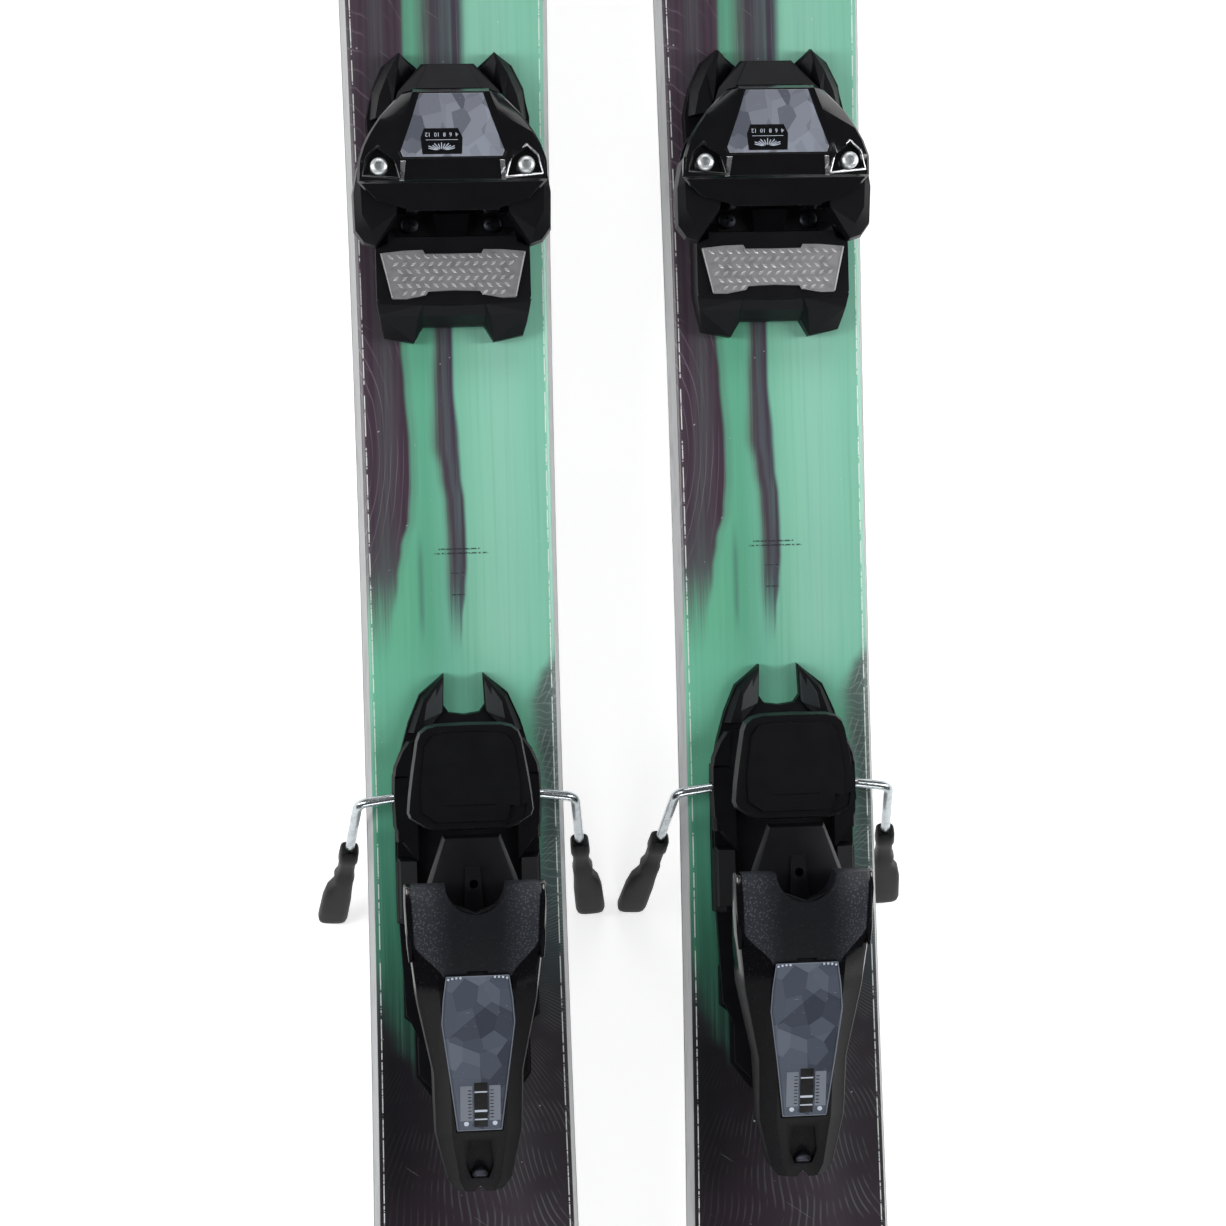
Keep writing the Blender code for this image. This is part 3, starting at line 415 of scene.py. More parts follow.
# each finish with the slot of the record that it answers to
finishes = {
    "topsheet": ("topsheet", paintTopSheet()),
    "gloss": ("gloss_black", paintPlastic("glossBlack", "08080b", "222328", 0.13, 0.5, 0.35, 0.3)),
    "satin": ("satin_black", paintPlastic("satinBlack", "07070b", "1d1e23", 0.44, 1.6, 0, 0.16)),
    # a lighter copy of the satin black: painted sheen for the heel track's prong facets
    "facet": ("satin_black", paintPlastic("satinBlackPaintedSheen", "1b2023", "3a4144", 0.4, 1.6, 0, 0.3)),
    "rubber": ("brake_plastic", paintPlastic("brakePlastic", "09090a", "1a1a1c", 0.48, 1.2, 0, 0.16)),
    "printed": ("gloss_black", paintPlastic("printedBlack", "08080a", "1c1d22", 0.2, 0.8)),
    "pale": ("scale_plastic", paintPlastic("paleMarks", "b9c2d0", "d8dde6", 0.4, 1.0)),
    "scale": ("scale_plastic", paintPlastic("scalePlastic", "6f7682", "565c67", 0.35, 1.0)),
    "steel": ("stainless_plate", paintMetal("stampedSteel", "b9b8bb", "7f7e83", 0.42, (0.15, 1.6, 1.0))),
    "zinc": ("zinc_steel", paintMetal("brightZinc", "e9edef", "a9adb0", 0.42, (1.0, 1.0, 1.0))),
    "chrome": ("zinc_steel", paintMetal("brakeWire", "bcc3c6", "8f979a", 0.22, (0.25, 0.25, 0.25))),
    "raised": ("stainless_plate", paintMetal("raisedSteel", "f2f2f4", "bdbcc0", 0.42, (0.5, 1.6, 1.0))),
    # bright metal used only for painted highlights: the right pocket's bead and the lamp reflections on the
    # toe housing's band
    "paintedGlint": ("zinc_steel", paintMetal("paintedGlintMetal", "d8d8dc", "a3a3a8", 0.24, (0.3, 0.3, 0.3))),
    "darkScrew": ("zinc_steel", paintMetal("blackenedScrew", "33343a", "17181b", 0.4, (1.0, 1.0, 1.0))),
    "edge": ("edge_steel", paintMetal("groundEdge", "b4b5b6", "7b7064", 0.34, (2.0, 0.05, 2.0))),
    "toeFacets": (
        "window",
        paintFacets("toeLabel", [(0.2, "565a65"), (0.4, "6a6e79"), (0.6, "7b7f8a"), (0.8, "8d93a0")], 7.5),
    ),
    "heelFacets": (
        "window",
        paintFacets("heelLabel", [(0.2, "393e4b"), (0.4, "474d5a"), (0.6, "555c69"), (0.8, "656d7a")], 9.5),
    ),
    "heelHousing": ("gloss_black", paintHeelHousing()),
    "wood": ("wood_core", paintWood()),
    "sidewall": ("sidewall", paintSidewall()),
    "base": ("running_base", paintBase()),
}


# shapes are made in millimetres: u to the right, v to the ski's tip, h up
def mirrored(half):
    return half + [(-u, v) for u, v in reversed(half) if abs(u) > 1e-6]


# a solid from rings of equal length, one after the other
def loft(rings):
    mesh = bmesh.new()
    rows = [[mesh.verts.new(point) for point in ring] for ring in rings]
    for one, other in zip(rows, rows[1:]):
        for i in range(len(one)):
            j = (i + 1) % len(one)
            mesh.faces.new((one[i], one[j], other[j], other[i]))
    mesh.faces.new(list(reversed(rows[0])))
    mesh.faces.new(rows[-1])
    bmesh.ops.recalc_face_normals(mesh, faces=mesh.faces)
    return mesh


def level(height, u, v):
    return height(u, v) if callable(height) else height


# an outline seen from above, between two heights
def prism(outline, low, high, lean=0.0):
    middleU = sum(u for u, _ in outline) / len(outline)
    middleV = sum(v for _, v in outline) / len(outline)
    top = []
    for u, v in outline:
        away = Vector((u - middleU, v - middleV))
        away = away - away.normalized() * lean
        top.append((middleU + away.x, middleV + away.y, level(high, u, v)))
    return loft([[(u, v, level(low, u, v)) for u, v in outline], top])


# the facets stretched round a set of points
def hull(points):
    mesh = bmesh.new()
    for point in points:
        mesh.verts.new(point)
    made = bmesh.ops.convex_hull(mesh, input=mesh.verts)
    loose = [v for v in made["geom_interior"] if isinstance(v, bmesh.types.BMVert)]
    bmesh.ops.delete(mesh, geom=loose, context="VERTS")
    bmesh.ops.recalc_face_normals(mesh, faces=mesh.faces)
    bmesh.ops.dissolve_limit(mesh, angle_limit=0.02, verts=mesh.verts, edges=mesh.edges)
    return mesh


def block(us, vs, hs):
    return hull([(u, v, h) for u in us for v in vs for h in hs])


# points or an outline on the right side, or the same on the left when way is -1
def handed(points, way):
    return [(way * u, *rest) for u, *rest in points]


# a round body on a line, from (radius, distance) steps
def turned(steps, start, towards, sides=32):
    axis = (Vector(towards) - Vector(start)).normalized()
    turn = axis.to_track_quat("Z", "Y").to_matrix()
    rings = []
    for radius, along in steps:
        ring = []
        for k in range(sides):
            a = 2 * math.pi * k / sides
            ring.append(Vector(start) + turn @ Vector((radius * math.cos(a), radius * math.sin(a), along)))
        rings.append(ring)
    return loft(rings)


def tube(points, radius, sides=20):
    rings, normal = [], None
    for i, point in enumerate(points):
        before, after = points[max(i - 1, 0)], points[min(i + 1, len(points) - 1)]
        along = (after - before).normalized()
        normal = along.orthogonal() if normal is None else normal
        normal = (normal - along * normal.dot(along)).normalized()
        other = along.cross(normal)
        rings.append([
            point + (normal * math.cos(a) + other * math.sin(a)) * radius
            for a in [2 * math.pi * k / sides for k in range(sides)]
        ])
    return loft(rings)


# a route whose corners are rounded to a radius
def bentRoute(corners, radius, steps=9):
    route = [corners[0]]
    for before, corner, after in zip(corners, corners[1:], corners[2:]):
        one, other = (before - corner).normalized(), (after - corner).normalized()
        half = one.angle(other) / 2
        back = min(radius / math.tan(half), 0.49 * min((before - corner).length, (after - corner).length))
        for k in range(steps + 1):
            t = k / steps
            a, b = corner + one * back, corner + other * back
            route.append(a.lerp(corner, t).lerp(corner.lerp(b, t), t))
    route.append(corners[-1])
    return route


# several solids in one mesh
def joined(*meshes):
    whole = bmesh.new()
    for mesh in meshes:
        spare = bpy.data.meshes.new("spare")
        mesh.to_mesh(spare)
        whole.from_mesh(spare)
        bpy.data.meshes.remove(spare)
        mesh.free()
    return whole


def asObject(name, mesh):
    data = bpy.data.meshes.new(name)
    mesh.to_mesh(data)
    mesh.free()
    made = bpy.data.objects.new(name, data)
    bpy.context.scene.collection.objects.link(made)
    return made


# a finished mesh: cuts are taken away, then corners are softened and shaded round
def finished(mesh, shift=0.0, soften=0.0, cuts=(), add=(), segments=3, angle=28):
    thing = asObject("blank", mesh)
    helpers = []
    for operation, tools in (("UNION", add), ("DIFFERENCE", cuts)):
        for tool in tools:
            helper = asObject("tool", tool)
            helpers.append(helper)
            boolean = thing.modifiers.new(operation, "BOOLEAN")
            boolean.operation, boolean.solver, boolean.object = operation, "EXACT", helper
    if soften:
        bevel = thing.modifiers.new("soft corners", "BEVEL")
        bevel.width, bevel.segments, bevel.limit_method = soften, segments, "ANGLE"
        bevel.angle_limit, bevel.harden_normals = math.radians(angle), True
        bevel.use_clamp_overlap = True
    for face in thing.data.polygons:
        face.use_smooth = True
    thing.data.set_sharp_from_angle(angle=math.radians(angle + 8))
    bpy.context.view_layer.update()
    shaped = thing.evaluated_get(bpy.context.evaluated_depsgraph_get())
    data = bpy.data.meshes.new_from_object(shaped)
    for spare in [thing, *helpers]:
        bpy.data.objects.remove(spare)
    data.transform(Matrix.Diagonal((mm, mm, mm, 1)) @ Matrix.Translation((0, shift, 0)))
    return data


pieceCount = 0


# the same shape on both skis, each riding on its own body and standing for the CAD nodes named
def place(name, data, finish, body="ski", stands=(), slotName=None):
    global pieceCount
    usualSlot, material = finishes[finish]
    for side in sides:
        piece = bpy.data.objects.new(f"{side}_{name}", data.copy())
        bpy.context.scene.collection.objects.link(piece)
        piece.location = skiOrigin(side)
        piece.data.materials.clear()
        piece.data.materials.append(material)
        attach(piece, f"{side}_{body}")
        if stands:
            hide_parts(*[f"{side}_{node}" for node in stands])
        slotName or usualSlot
        pieceCount += 1
    bpy.data.meshes.remove(data)


# v runs from the boot's middle and h from the top sheet
ski = {
    "waist": 92, "waistAt": -60, "radiusFront": 20000, "radiusRear": 17000,
    "tail": -790, "tip": 940, "shovel": 150, "tailRound": 70,
    "tipRocker": 290, "tailRocker": 100, "tipRise": 62, "tailRise": 14, "camber": 4, "flat": 265,
    "thick": 13, "thin": 6, "edgeWidth": 2.2, "edgeHeight": 2.0, "baseThick": 1.3, "filmThick": 0.9,
}


def halfWidth(v):
    away = v - ski["waistAt"]
    return ski["waist"] / 2 + away**2 / (2 * (ski["radiusFront"] if away > 0 else ski["radiusRear"]))


def ease(x):
    return (1 - math.cos(math.pi * min(max(x, 0), 1))) / 2


def baseHeight(v):
    tipContact, tailContact = ski["tip"] - ski["tipRocker"], ski["tail"] + ski["tailRocker"]
    if v > tipContact:
        return -ski["camber"] + ski["tipRise"] * ((v - tipContact) / ski["tipRocker"]) ** 2.2
    if v < tailContact:
        return -ski["camber"] + ski["tailRise"] * ((tailContact - v) / ski["tailRocker"]) ** 2
    contact = tipContact if v > 0 else -tailContact
    return -ski["camber"] * ease((abs(v) - ski["flat"]) / (contact - ski["flat"]))


def thickness(v):
    end = ski["tip"] - ski["shovel"] if v > 0 else -ski["tail"]
    return ski["thick"] + (ski["thin"] - ski["thick"]) * ease((abs(v) - ski["flat"]) / (end - ski["flat"]))


def sideLine():
    tailWide, tipWide = ski["tail"] + ski["tailRound"], ski["tip"] - ski["shovel"]
    line = []
    for k in range(19):
        a = math.radians(82 - 82 * k / 18)
        line.append((
            halfWidth(tailWide) * math.cos(a) ** 0.5, tailWide - ski["tailRound"] * math.sin(a) ** 0.8,
        ))
    for k in range(1, 130):
        v = tailWide + (tipWide - tailWide) * k / 130
        line.append((halfWidth(v), v))
    for k in range(29):
        a = math.radians(84 * k / 28)
        line.append((halfWidth(tipWide) * math.cos(a) ** 0.9, tipWide + ski["shovel"] * math.sin(a)))
    return line


outerLine = sideLine()


def insetLine(inset):
    moved = []
    for i, (u, v) in enumerate(outerLine):
        before = outerLine[i - 1] if i else (-outerLine[0][0], outerLine[0][1])
        after = outerLine[i + 1] if i + 1 < len(outerLine) else (-outerLine[-1][0], outerLine[-1][1])
        along = Vector((after[0] - before[0], after[1] - before[1])).normalized()
        moved.append((max(u - inset * along.y, 0.4), v + inset * along.x))
    return moved


# a layer whose sides follow (inset, height above the base) points from the bottom to the top
def skiLayer(section):
    lines = [insetLine(inset) for inset, _ in section]
    rings = []
    for i in range(len(outerLine)):
        right = []
        for line, (_, height) in zip(lines, section):
            u, v = line[i]
            right.append((u, v, baseHeight(v) + level(height, u, v) - ski["thick"]))
        rings.append(right + [(-u, v, h) for u, v, h in reversed(right)])
    return loft(rings)


# a band that runs right round the ski
def skiRim(section):
    lines = [insetLine(inset) for inset, _ in section]
    mesh = bmesh.new()
    rings = []
    count = len(outerLine)
    for sign, order in ((1, range(count)), (-1, reversed(range(count)))):
        for i in order:
            ring = []
            for line, (_, height) in zip(lines, section):
                u, v = line[i]
                ring.append(mesh.verts.new((sign * u, v, baseHeight(v) + level(height, u, v) - ski["thick"])))
            rings.append(ring)
    for one, other in zip(rings, rings[1:] + rings[:1]):
        for i in range(len(section)):
            j = (i + 1) % len(section)
            mesh.faces.new((one[i], one[j], other[j], other[i]))
    bmesh.ops.recalc_face_normals(mesh, faces=mesh.faces)
    return mesh


def below(depth):
    return lambda u, v: thickness(v) - depth


def makeSkis():
    edge, film = ski["edgeHeight"], ski["filmThick"]
    base = skiLayer([(ski["edgeWidth"] + 0.1, 0), (ski["edgeWidth"] + 0.1, ski["baseThick"])])
    place("runningBase", finished(base), "base", "ski", ["base"])
    steel = [
        (0.15, 0), (0, 0.15), (0, edge - 0.1), (0.1, edge), (ski["edgeWidth"], edge), (ski["edgeWidth"], 0),
    ]
    place("steelEdge", finished(skiRim(steel)), "edge", "ski", ["edge"])
    core = skiLayer([(4.8, edge + 0.3), (4.8, below(1.2))])
    place("woodCore", finished(core), "wood", "ski", ["core"])
    wall = [
        (0.2, edge + 0.05), (0.35, edge + 0.5), (2.7, below(film + 0.15)), (2.9, below(film)),
        (4.5, below(film)), (4.5, edge + 0.05),
    ]
    place("sideWall", finished(skiRim(wall)), "sidewall", "ski", ["sidewall"])
    sheet = [
        (2.8, below(film - 0.05)), (2.8, below(film - 0.25)), (3.1, below(0.42)), (4.3, below(0.1)),
        (4.6, below(0.03)), (5.1, below(0)),
    ]
    place("topSheet", finished(skiLayer(sheet), angle=60), "topsheet", "ski", ["topsheet"])


# v runs forward from the boot's toe
toe = {
    "platform": 7.8, "mountAt": (19, -2.4), "wingFoot": 21.5,
    "pinAt": (33, 20), "pinTop": 45.5, "pinHole": 3.2,
    "window": [(14.5, 52.2), (18.2, 41), (23.6, 26), (22.6, 23.4)],
    "treadTop": 22.8, "treadPitch": 4.05, "treadRows": 6, "rowStep": 3.3,
    "dashSlant": 38, "dashReach": 1.95, "dashHalf": 0.85,
}


# a screw head with a cross in it
def crossHead(u, v, radius, top, depth=1.2):
    tall, long, thin = 2.3, radius * 0.62, 0.45
    steps = [(radius * 0.9, 0), (radius, 0.6), (radius, 1.6), (radius * 0.8, 2.1), (radius * 0.3, tall)]
    head = turned(steps, (u, v, top - tall), (u, v, top))
    bars = []
    for a, b in ((long, thin), (thin, long)):
        bars.append(block((u - a, u + a), (v - b, v + b), (top - depth, top + 1)))
    return finished(head, toeShift, cuts=bars, angle=35)


# the plate on the ski with its two horns and the nose between them
def makeToeBase():
    half = [(0, -8), (28, -8), (36, 0), (38, 47), (35, 60), (30, 70.5), (22, 77), (13.5, 69.5), (10.5, 62)]
    plate = prism(mirrored(half + [(0, 62)]), 0.3, toe["platform"], 0.6)
    horns = []
    for way in (1, -1):
        horn = [(14, 69, 6), (22, 77.2, 6), (30, 70.8, 6), (35.2, 60, 6), (37, 46, 6), (24, 46, 6)]
        horn += [
            (21.5, 75.6, 13.4), (27.5, 66, 14), (31.5, 56, 14.6), (33.5, 46, 15.2), (16, 68.4, 9.6),
            (26, 47, 16.4),
        ]
        horns.append(hull(handed(horn, way)))
        ear = [
            (22, 76, 12.6), (27.6, 65.6, 14.4), (24.4, 58, 19.5), (25.4, 52, 21), (27, 50, 8), (22, 52, 8),
            (19, 66, 9),
        ]
        horns.append(hull(handed(ear, way)))
    plate = finished(plate, toeShift, 0.5, add=horns, segments=2)
    place("toePlate", plate, "satin", "ski", ["toe_plate"])
    nose = [
        (12, 70.4, 9), (12, 70.4, 14.8), (11, 69.6, 16), (16.5, 65, 17), (23, 57, 21), (25.5, 50, 24),
        (17, 64, 8.5), (25, 50, 8.5),
    ]
    nose = hull(nose + handed(nose, -1))
    rib = prism([(-9, 69.9), (9, 69.9), (15, 58), (-15, 58)], 15, lambda u, v: 17.2 + (69.9 - v) * 0.42)
    place("toeNose", finished(nose, toeShift, 0.9, add=[rib]), "satin")
    for name, way in hands:
        u, v = toe["mountAt"]
        place(f"mountScrew_{name}", crossHead(way * u, v, 4, 10.2), "darkScrew")
    rib = prism(mirrored([(0, -8.6), (7, -8.6), (8.5, 2), (0, 2)]), 7, lambda u, v: 15 + v * 0.5)
    place("toeRib", finished(rib, toeShift, 0.8), "satin")


# at stations along the housing: half width and height of the flat top, of the sides, and the underside
housingStations = [
    (55.2, 15.5, 36.5, 18.5, 33, 12),
    (54.2, 17, 43.2, 20.5, 37.5, 8.4),
    (52.6, 17.2, 45.6, 23, 39, 8.4),
    (43, 20.6, 46, 32, 40, 8.4),
    (35, 23.4, 46, 37.4, 40.4, 8.4),
    (29.5, 25.2, 46, 40.2, 41, 8.4),
    (23.2, 26.6, 45.8, 42.2, 41.8, 9),
    (21.8, 26.8, 45.2, 42.5, 41.8, 9),
    (14, 27, 41.4, 42.8, 39.8, 10),
    (13, 27, 39.4, 42, 38, 10),
    (6, 25.5, 37.4, 35.5, 35.9, 14),
    (0.9, 15, 36.4, 24.5, 34.6, 19),
]


def makeToeHousing():
    rings = []
    for v, flat, top, half, side, foot in housingStations:
        right = [
            (half - 3, v, foot), (half, v, foot + 3), (half, v, side - 1.2), (half - 1, v, side),
            (flat, v, top),
        ]
        rings.append(right + [(-u, y, h) for u, y, h in reversed(right)])
    cuts = []
    for way in (1, -1):
        pocket = [(21, -20), (60, -20), (60, 31.5), (24, 31.5), (21, 27)]
        cuts.append(prism(handed(pocket, way), 21, 35.7))
        screw = [(24.4, 15.6), (39.2, 17), (37.6, 24), (33.6, 28), (26.2, 22.4)]
        cuts.append(prism(handed(screw, way), 39.4, 60))
    cuts.append(prism(mirrored([(0, -6), (16.5, -6), (13, 2.5), (0, 4)]), 10, 33))
    place("toeHousing", finished(loft(rings), toeShift, 0.7, cuts=cuts), "gloss", "ski", ["toe_housing"])
    # a raised bead round each pivot's pocket, bright metal on the right pocket as a painted highlight and
    # gloss black on the left, and a short bright bar beside it: a painted reflection of a lamp on the band
    for name, way in hands:
        pocket = [(23.6, 14.4), (26, 22.8), (33.4, 29.2), (38.4, 24.4), (40.4, 16.2), (23.6, 14.4)]
        bead = tube([Vector((way * u, v, 41.3 + (43 - abs(u)) * 0.17)) for u, v in pocket], 0.6, 12)
        bar = [
            (21.0, 22, 44.6), (23.3, 22, 44.6), (22, 13.6, 40.4), (24, 13.6, 40.4), (21.0, 22, 46.4),
            (23.3, 22, 45.3), (22, 13.6, 42.2), (24, 13.6, 41.3),
        ]
        bead = finished(bead, toeShift, angle=60)
        # painted highlight: the bead is bright metal on the right pocket only
        place(f"pocketRim_{name}", bead, "paintedGlint" if way > 0 else "gloss", slotName="zinc_steel")
        # painted reflection: a bright bar where a lamp shows in the glossy band
        place(f"bandInlay_{name}", finished(hull(handed(bar, way)), toeShift, 0.2), "paintedGlint")
    # stiffening ribs under the front corners
    rib = [(24, 50, 8), (27, 44, 8), (34, 40, 8), (36, 33, 8)]
    rib += [(22.5, 50, 36), (30.5, 43, 38), (36.4, 34, 38), (26, 40, 38)]
    for name, way in hands:
        place(f"toeCheek_{name}", finished(hull(handed(rib, way)), toeShift, 0.5), "satin")


def makeToeLabel():
    rim = mirrored(toe["window"])
    bezel = [(u * 1.035, 38 + (v - 38) * 1.04) for u, v in rim]
    place("toeLabelBezel", finished(prism(bezel, 45, 46.15, 0.3), toeShift, 0.15), "printed")
    place("toeLabel", finished(prism(rim, 45.2, 46.5, 0.5), toeShift, 0.25), "toeFacets")
    scroll = [(-14.2, 32), (-12.6, 36.2), (2.6, 36.2), (4.6, 32), (4.2, 24.6), (-13.6, 24.6)]
    place("toeScaleWindow", finished(prism(scroll, 46, 46.62), toeShift, 0.12), "printed")
    bars = []
    for k in range(-5, 6):
        a = math.radians(90 + k * 13)
        reach = (1.4, 3.4) if k % 2 else (1.0, 3.9)
        foot, tip = [Vector((-4.9 + math.cos(a) * r * 1.9, 25.9 + math.sin(a) * r, 46.6)) for r in reach]
        side = (tip - foot).cross(Vector((0, 0, 1))).normalized() * 0.17
        corners = [foot + side, foot - side, tip + side, tip - side]
        bars.append(hull([corner + Vector((0, 0, z)) for corner in corners for z in (0, 0.09)]))
    bars.append(block((-11.8, 2.4), (30.9, 31.1), (46.6, 46.68)))
    place("toeScaleTicks", finished(joined(*bars), toeShift, angle=40), "pale")
    place("toeScaleFigures", figures("4  6  8  10  12", 2.6, (-4.8, 33.4, 46.6), toeShift), "pale")


# raised figures that read from the ski's tip
def figures(words, height, at, shift):
    text = bpy.data.curves.new("figures", "FONT")
    text.body, text.size, text.extrude, text.align_x, text.align_y = words, height, 0.05, "CENTER", "CENTER"
    text.resolution_u = 2
    holder = bpy.data.objects.new("figures", text)
    bpy.context.scene.collection.objects.link(holder)
    bpy.context.view_layer.update()
    data = bpy.data.meshes.new_from_object(holder.evaluated_get(bpy.context.evaluated_depsgraph_get()))
    bpy.data.objects.remove(holder)
    turn = Matrix.Rotation(math.pi, 4, "Z")
    u, v, h = at
    data.transform(Matrix.Diagonal((mm, mm, mm, 1)) @ Matrix.Translation((u, v + shift, h)) @ turn)
    return data


def makeToeWings():
    foot, top, hole = toe["wingFoot"], toe["pinTop"], toe["pinHole"]
    for name, way in hands:
        pinU, pinV = way * toe["pinAt"][0], toe["pinAt"][1]
        ring = [
            (25, -0.5), (35, -14.5), (41, -12.5), (45, -7), (45.4, 10), (43, 22), (38, 28), (32, 29),
            (26, 24), (23, 14),
        ]
        points = [(u, v, foot) for u, v in ring]
        points += [
            (25.4, 0.4, 33.4), (35.2, -13.6, 27.6), (40.4, -11.8, 27), (44.2, -6.6, 28), (44.6, 9.6, 31),
            (42.4, 21.4, 33.6),
        ]
        points += [
            (37.8, 27.2, 35.2), (32.2, 28, 35.2), (26.8, 23.4, 35.2), (24.2, 14, 35.2), (41, 0, 33.4),
            (37, -7.4, 32.2), (41.4, 12, 34.8),
        ]
        bore = turned([(hole, 0), (hole, 40)], (pinU, pinV, 10), (pinU, pinV, 50))
        slot = [(22, -3, 24), (22, 12, 24), (22, -3, 30), (22, 12, 30)]
        slot += [(26.5, 2, 25), (26.5, 10, 25), (26.5, 2, 29), (26.5, 10, 29)]
        wing = finished(hull(handed(points, way)), toeShift, 0.8, cuts=[bore, hull(handed(slot, way))])
        place(f"toeWing_{name}", wing, "satin", f"toe_wing_{name}", [f"toe_wing_{name}"], "gloss_black")
        steps = [(3, 0), (3, 25), (3.9, 26), (3.9, 29.9), (3.6, 30.7), (3.0, 31.2), (2.2, 31.5)]
        pin = turned(steps, (pinU, pinV, top - steps[-1][1]), (pinU, pinV, top))
        socket = turned([(2, 0), (2, 6)], (pinU, pinV, top - 2.2), (pinU, pinV, top), sides=6)
        pin = finished(pin, toeShift, cuts=[socket], angle=35)
        place(f"toePin_{name}", pin, "zinc", "ski", [f"toe_pin_{name}"])


# what the boot's sole rests on: a black support, a steel plate that slides and its raised dashes
def makeSolePlate():
    top = 21.5
    bed = prism(mirrored([(0, -41), (34.6, -39.5), (35.5, -37), (35.5, -9), (0, -9)]), 0.3, top, 0.4)
    extra, holes = [], []
    for way in (1, -1):
        leg = [
            (14.2, -40, 20.6), (35.3, -38, 20.6), (34.2, -44, 17.6), (16.6, -45, 17.6), (32, -53.4, 7),
            (18.4, -56.2, 7), (14.2, -49, 9),
        ]
        leg += [
            (32, -53.4, 0.4), (18.4, -56.2, 0.4), (14.2, -49, 0.4), (35.3, -38, 0.4), (14.2, -39, 0.4),
            (33.6, -48, 12),
        ]
        extra.append(hull(handed(leg, way)))
        wing = [
            (35.3, -9, 0.4), (35.3, -9, 16), (33, -4, 0.4), (33, -4, 12), (24, -4, 0.4), (24, -4, 12),
            (24, -9, 19), (24, -9, 0.4),
        ]
        extra.append(hull(handed(wing, way)))
        holes.append(prism(handed([(28.5, -2), (34.5, -8), (34.5, -14), (29.5, -12)], way), 15, 40))
    web = [(-39, 20.6), (-39, 0.4), (-48.8, 0.4), (-48.8, 7), (-44.6, 15.5)]
    extra.append(hull([(u, v, h) for u in (-14.5, 14.5) for v, h in web]))
    place("soleSupport", finished(bed, toeShift, 0.7, add=extra, cuts=holes), "satin", "ski", ["afd_frame"])
    edge = [
        (0, -34), (12, -34.4), (13, -36), (22, -37.6), (28.1, -37.5), (33.3, -16.5), (22, -15.4), (14, -15.2),
        (13, -17), (0, -17),
    ]
    plate = prism(mirrored(edge), top + 0.3, toe["treadTop"], 0.25)
    dashes = []
    slant, ridge = math.radians(toe["dashSlant"]), Vector((0, 0, 0.42))
    for row in range(toe["treadRows"]):
        v, odd = -18.4 - row * toe["rowStep"], row % 2
        reach = 33.3 - (-16.5 - v) * 0.248 - 3.2  # the plate narrows towards the heel
        along = Vector((math.cos(slant), (1 if odd else -1) * math.sin(slant), 0)) * toe["dashReach"]
        across = along.cross(Vector((0, 0, 1))).normalized() * toe["dashHalf"]
        for k in range(-8, 9):
            u = (k + (0.5 if odd else 0)) * toe["treadPitch"]
            onPlate = abs(u) > 12.5 or -33.4 < v < -17.8  # clear of the notches
            if abs(u) > reach or not onPlate:
                continue
            middle = Vector((u, v, 22.7))
            points = [middle + along, middle - along, middle + across, middle - across]
            points += [middle + along * 0.55 + ridge, middle - along * 0.55 + ridge]
            dashes.append(hull(points))
    for way in (1, -1):
        bar = [(28.4, -37), (33, -17), (32.4, -16.9), (27.9, -36.9)]
        dashes.append(prism(handed(bar, way), 22.6, 23.3))
    place("soleTread", finished(plate, toeShift, angle=40), "steel", "sole_slider", ["afd_plate"])
    place("treadDashes", finished(joined(*dashes), toeShift, angle=20), "raised", "sole_slider")


# v runs forward from the boot's heel
heel = {"axle": (-37.5, 30), "axleHole": 3.2, "wireHole": 2.6, "wall": 3.4, "labelProud": 1, "facetLift": 2.5}

# half width, height at the sides, height in the middle and underside at stations along the lever's housing
heelStations = [
    (5.5, 31.2, 66, 69.6, 60),
    (4.6, 31.5, 68.4, 72, 59),
    (-3, 31.6, 70, 73, 58),
    (-16.5, 31, 67, 72, 50),
    (-30, 29, 62, 69, 34),
    (-36, 28.3, 60.2, 67.6, 30),
    (-48, 27, 57, 65, 24),
    (-81, 20.5, 49, 57, 24),
    (-107.5, 20, 41.8, 48.4, 27),
    (-110, 19.8, 40.6, 46.6, 27),
    (-131, 15, 38, 42, 25),
    (-136.5, 11, 37, 40, 27),
]


def heelStation(v):
    for one, other in zip(heelStations, heelStations[1:]):
        if other[0] <= v <= one[0]:
            share = (one[0] - v) / (one[0] - other[0])
            return [a + (b - a) * share for a, b in zip(one, other)]


def heelRing(v, half, side, crown, foot, shrink=0.0):
    half -= shrink
    right = [
        (half - 2, v, foot), (half, v, foot + 2), (half, v, side - 3.4 - shrink),
        (half - 0.7, v, side - 1.4 - shrink),
    ]
    right += [
        (half - 2.4, v, side - shrink), (half * 0.62, v, crown - 0.8 - shrink),
        (half * 0.45, v, crown - shrink),
    ]
    return right + [(-u, y, h) for u, y, h in reversed(right)]


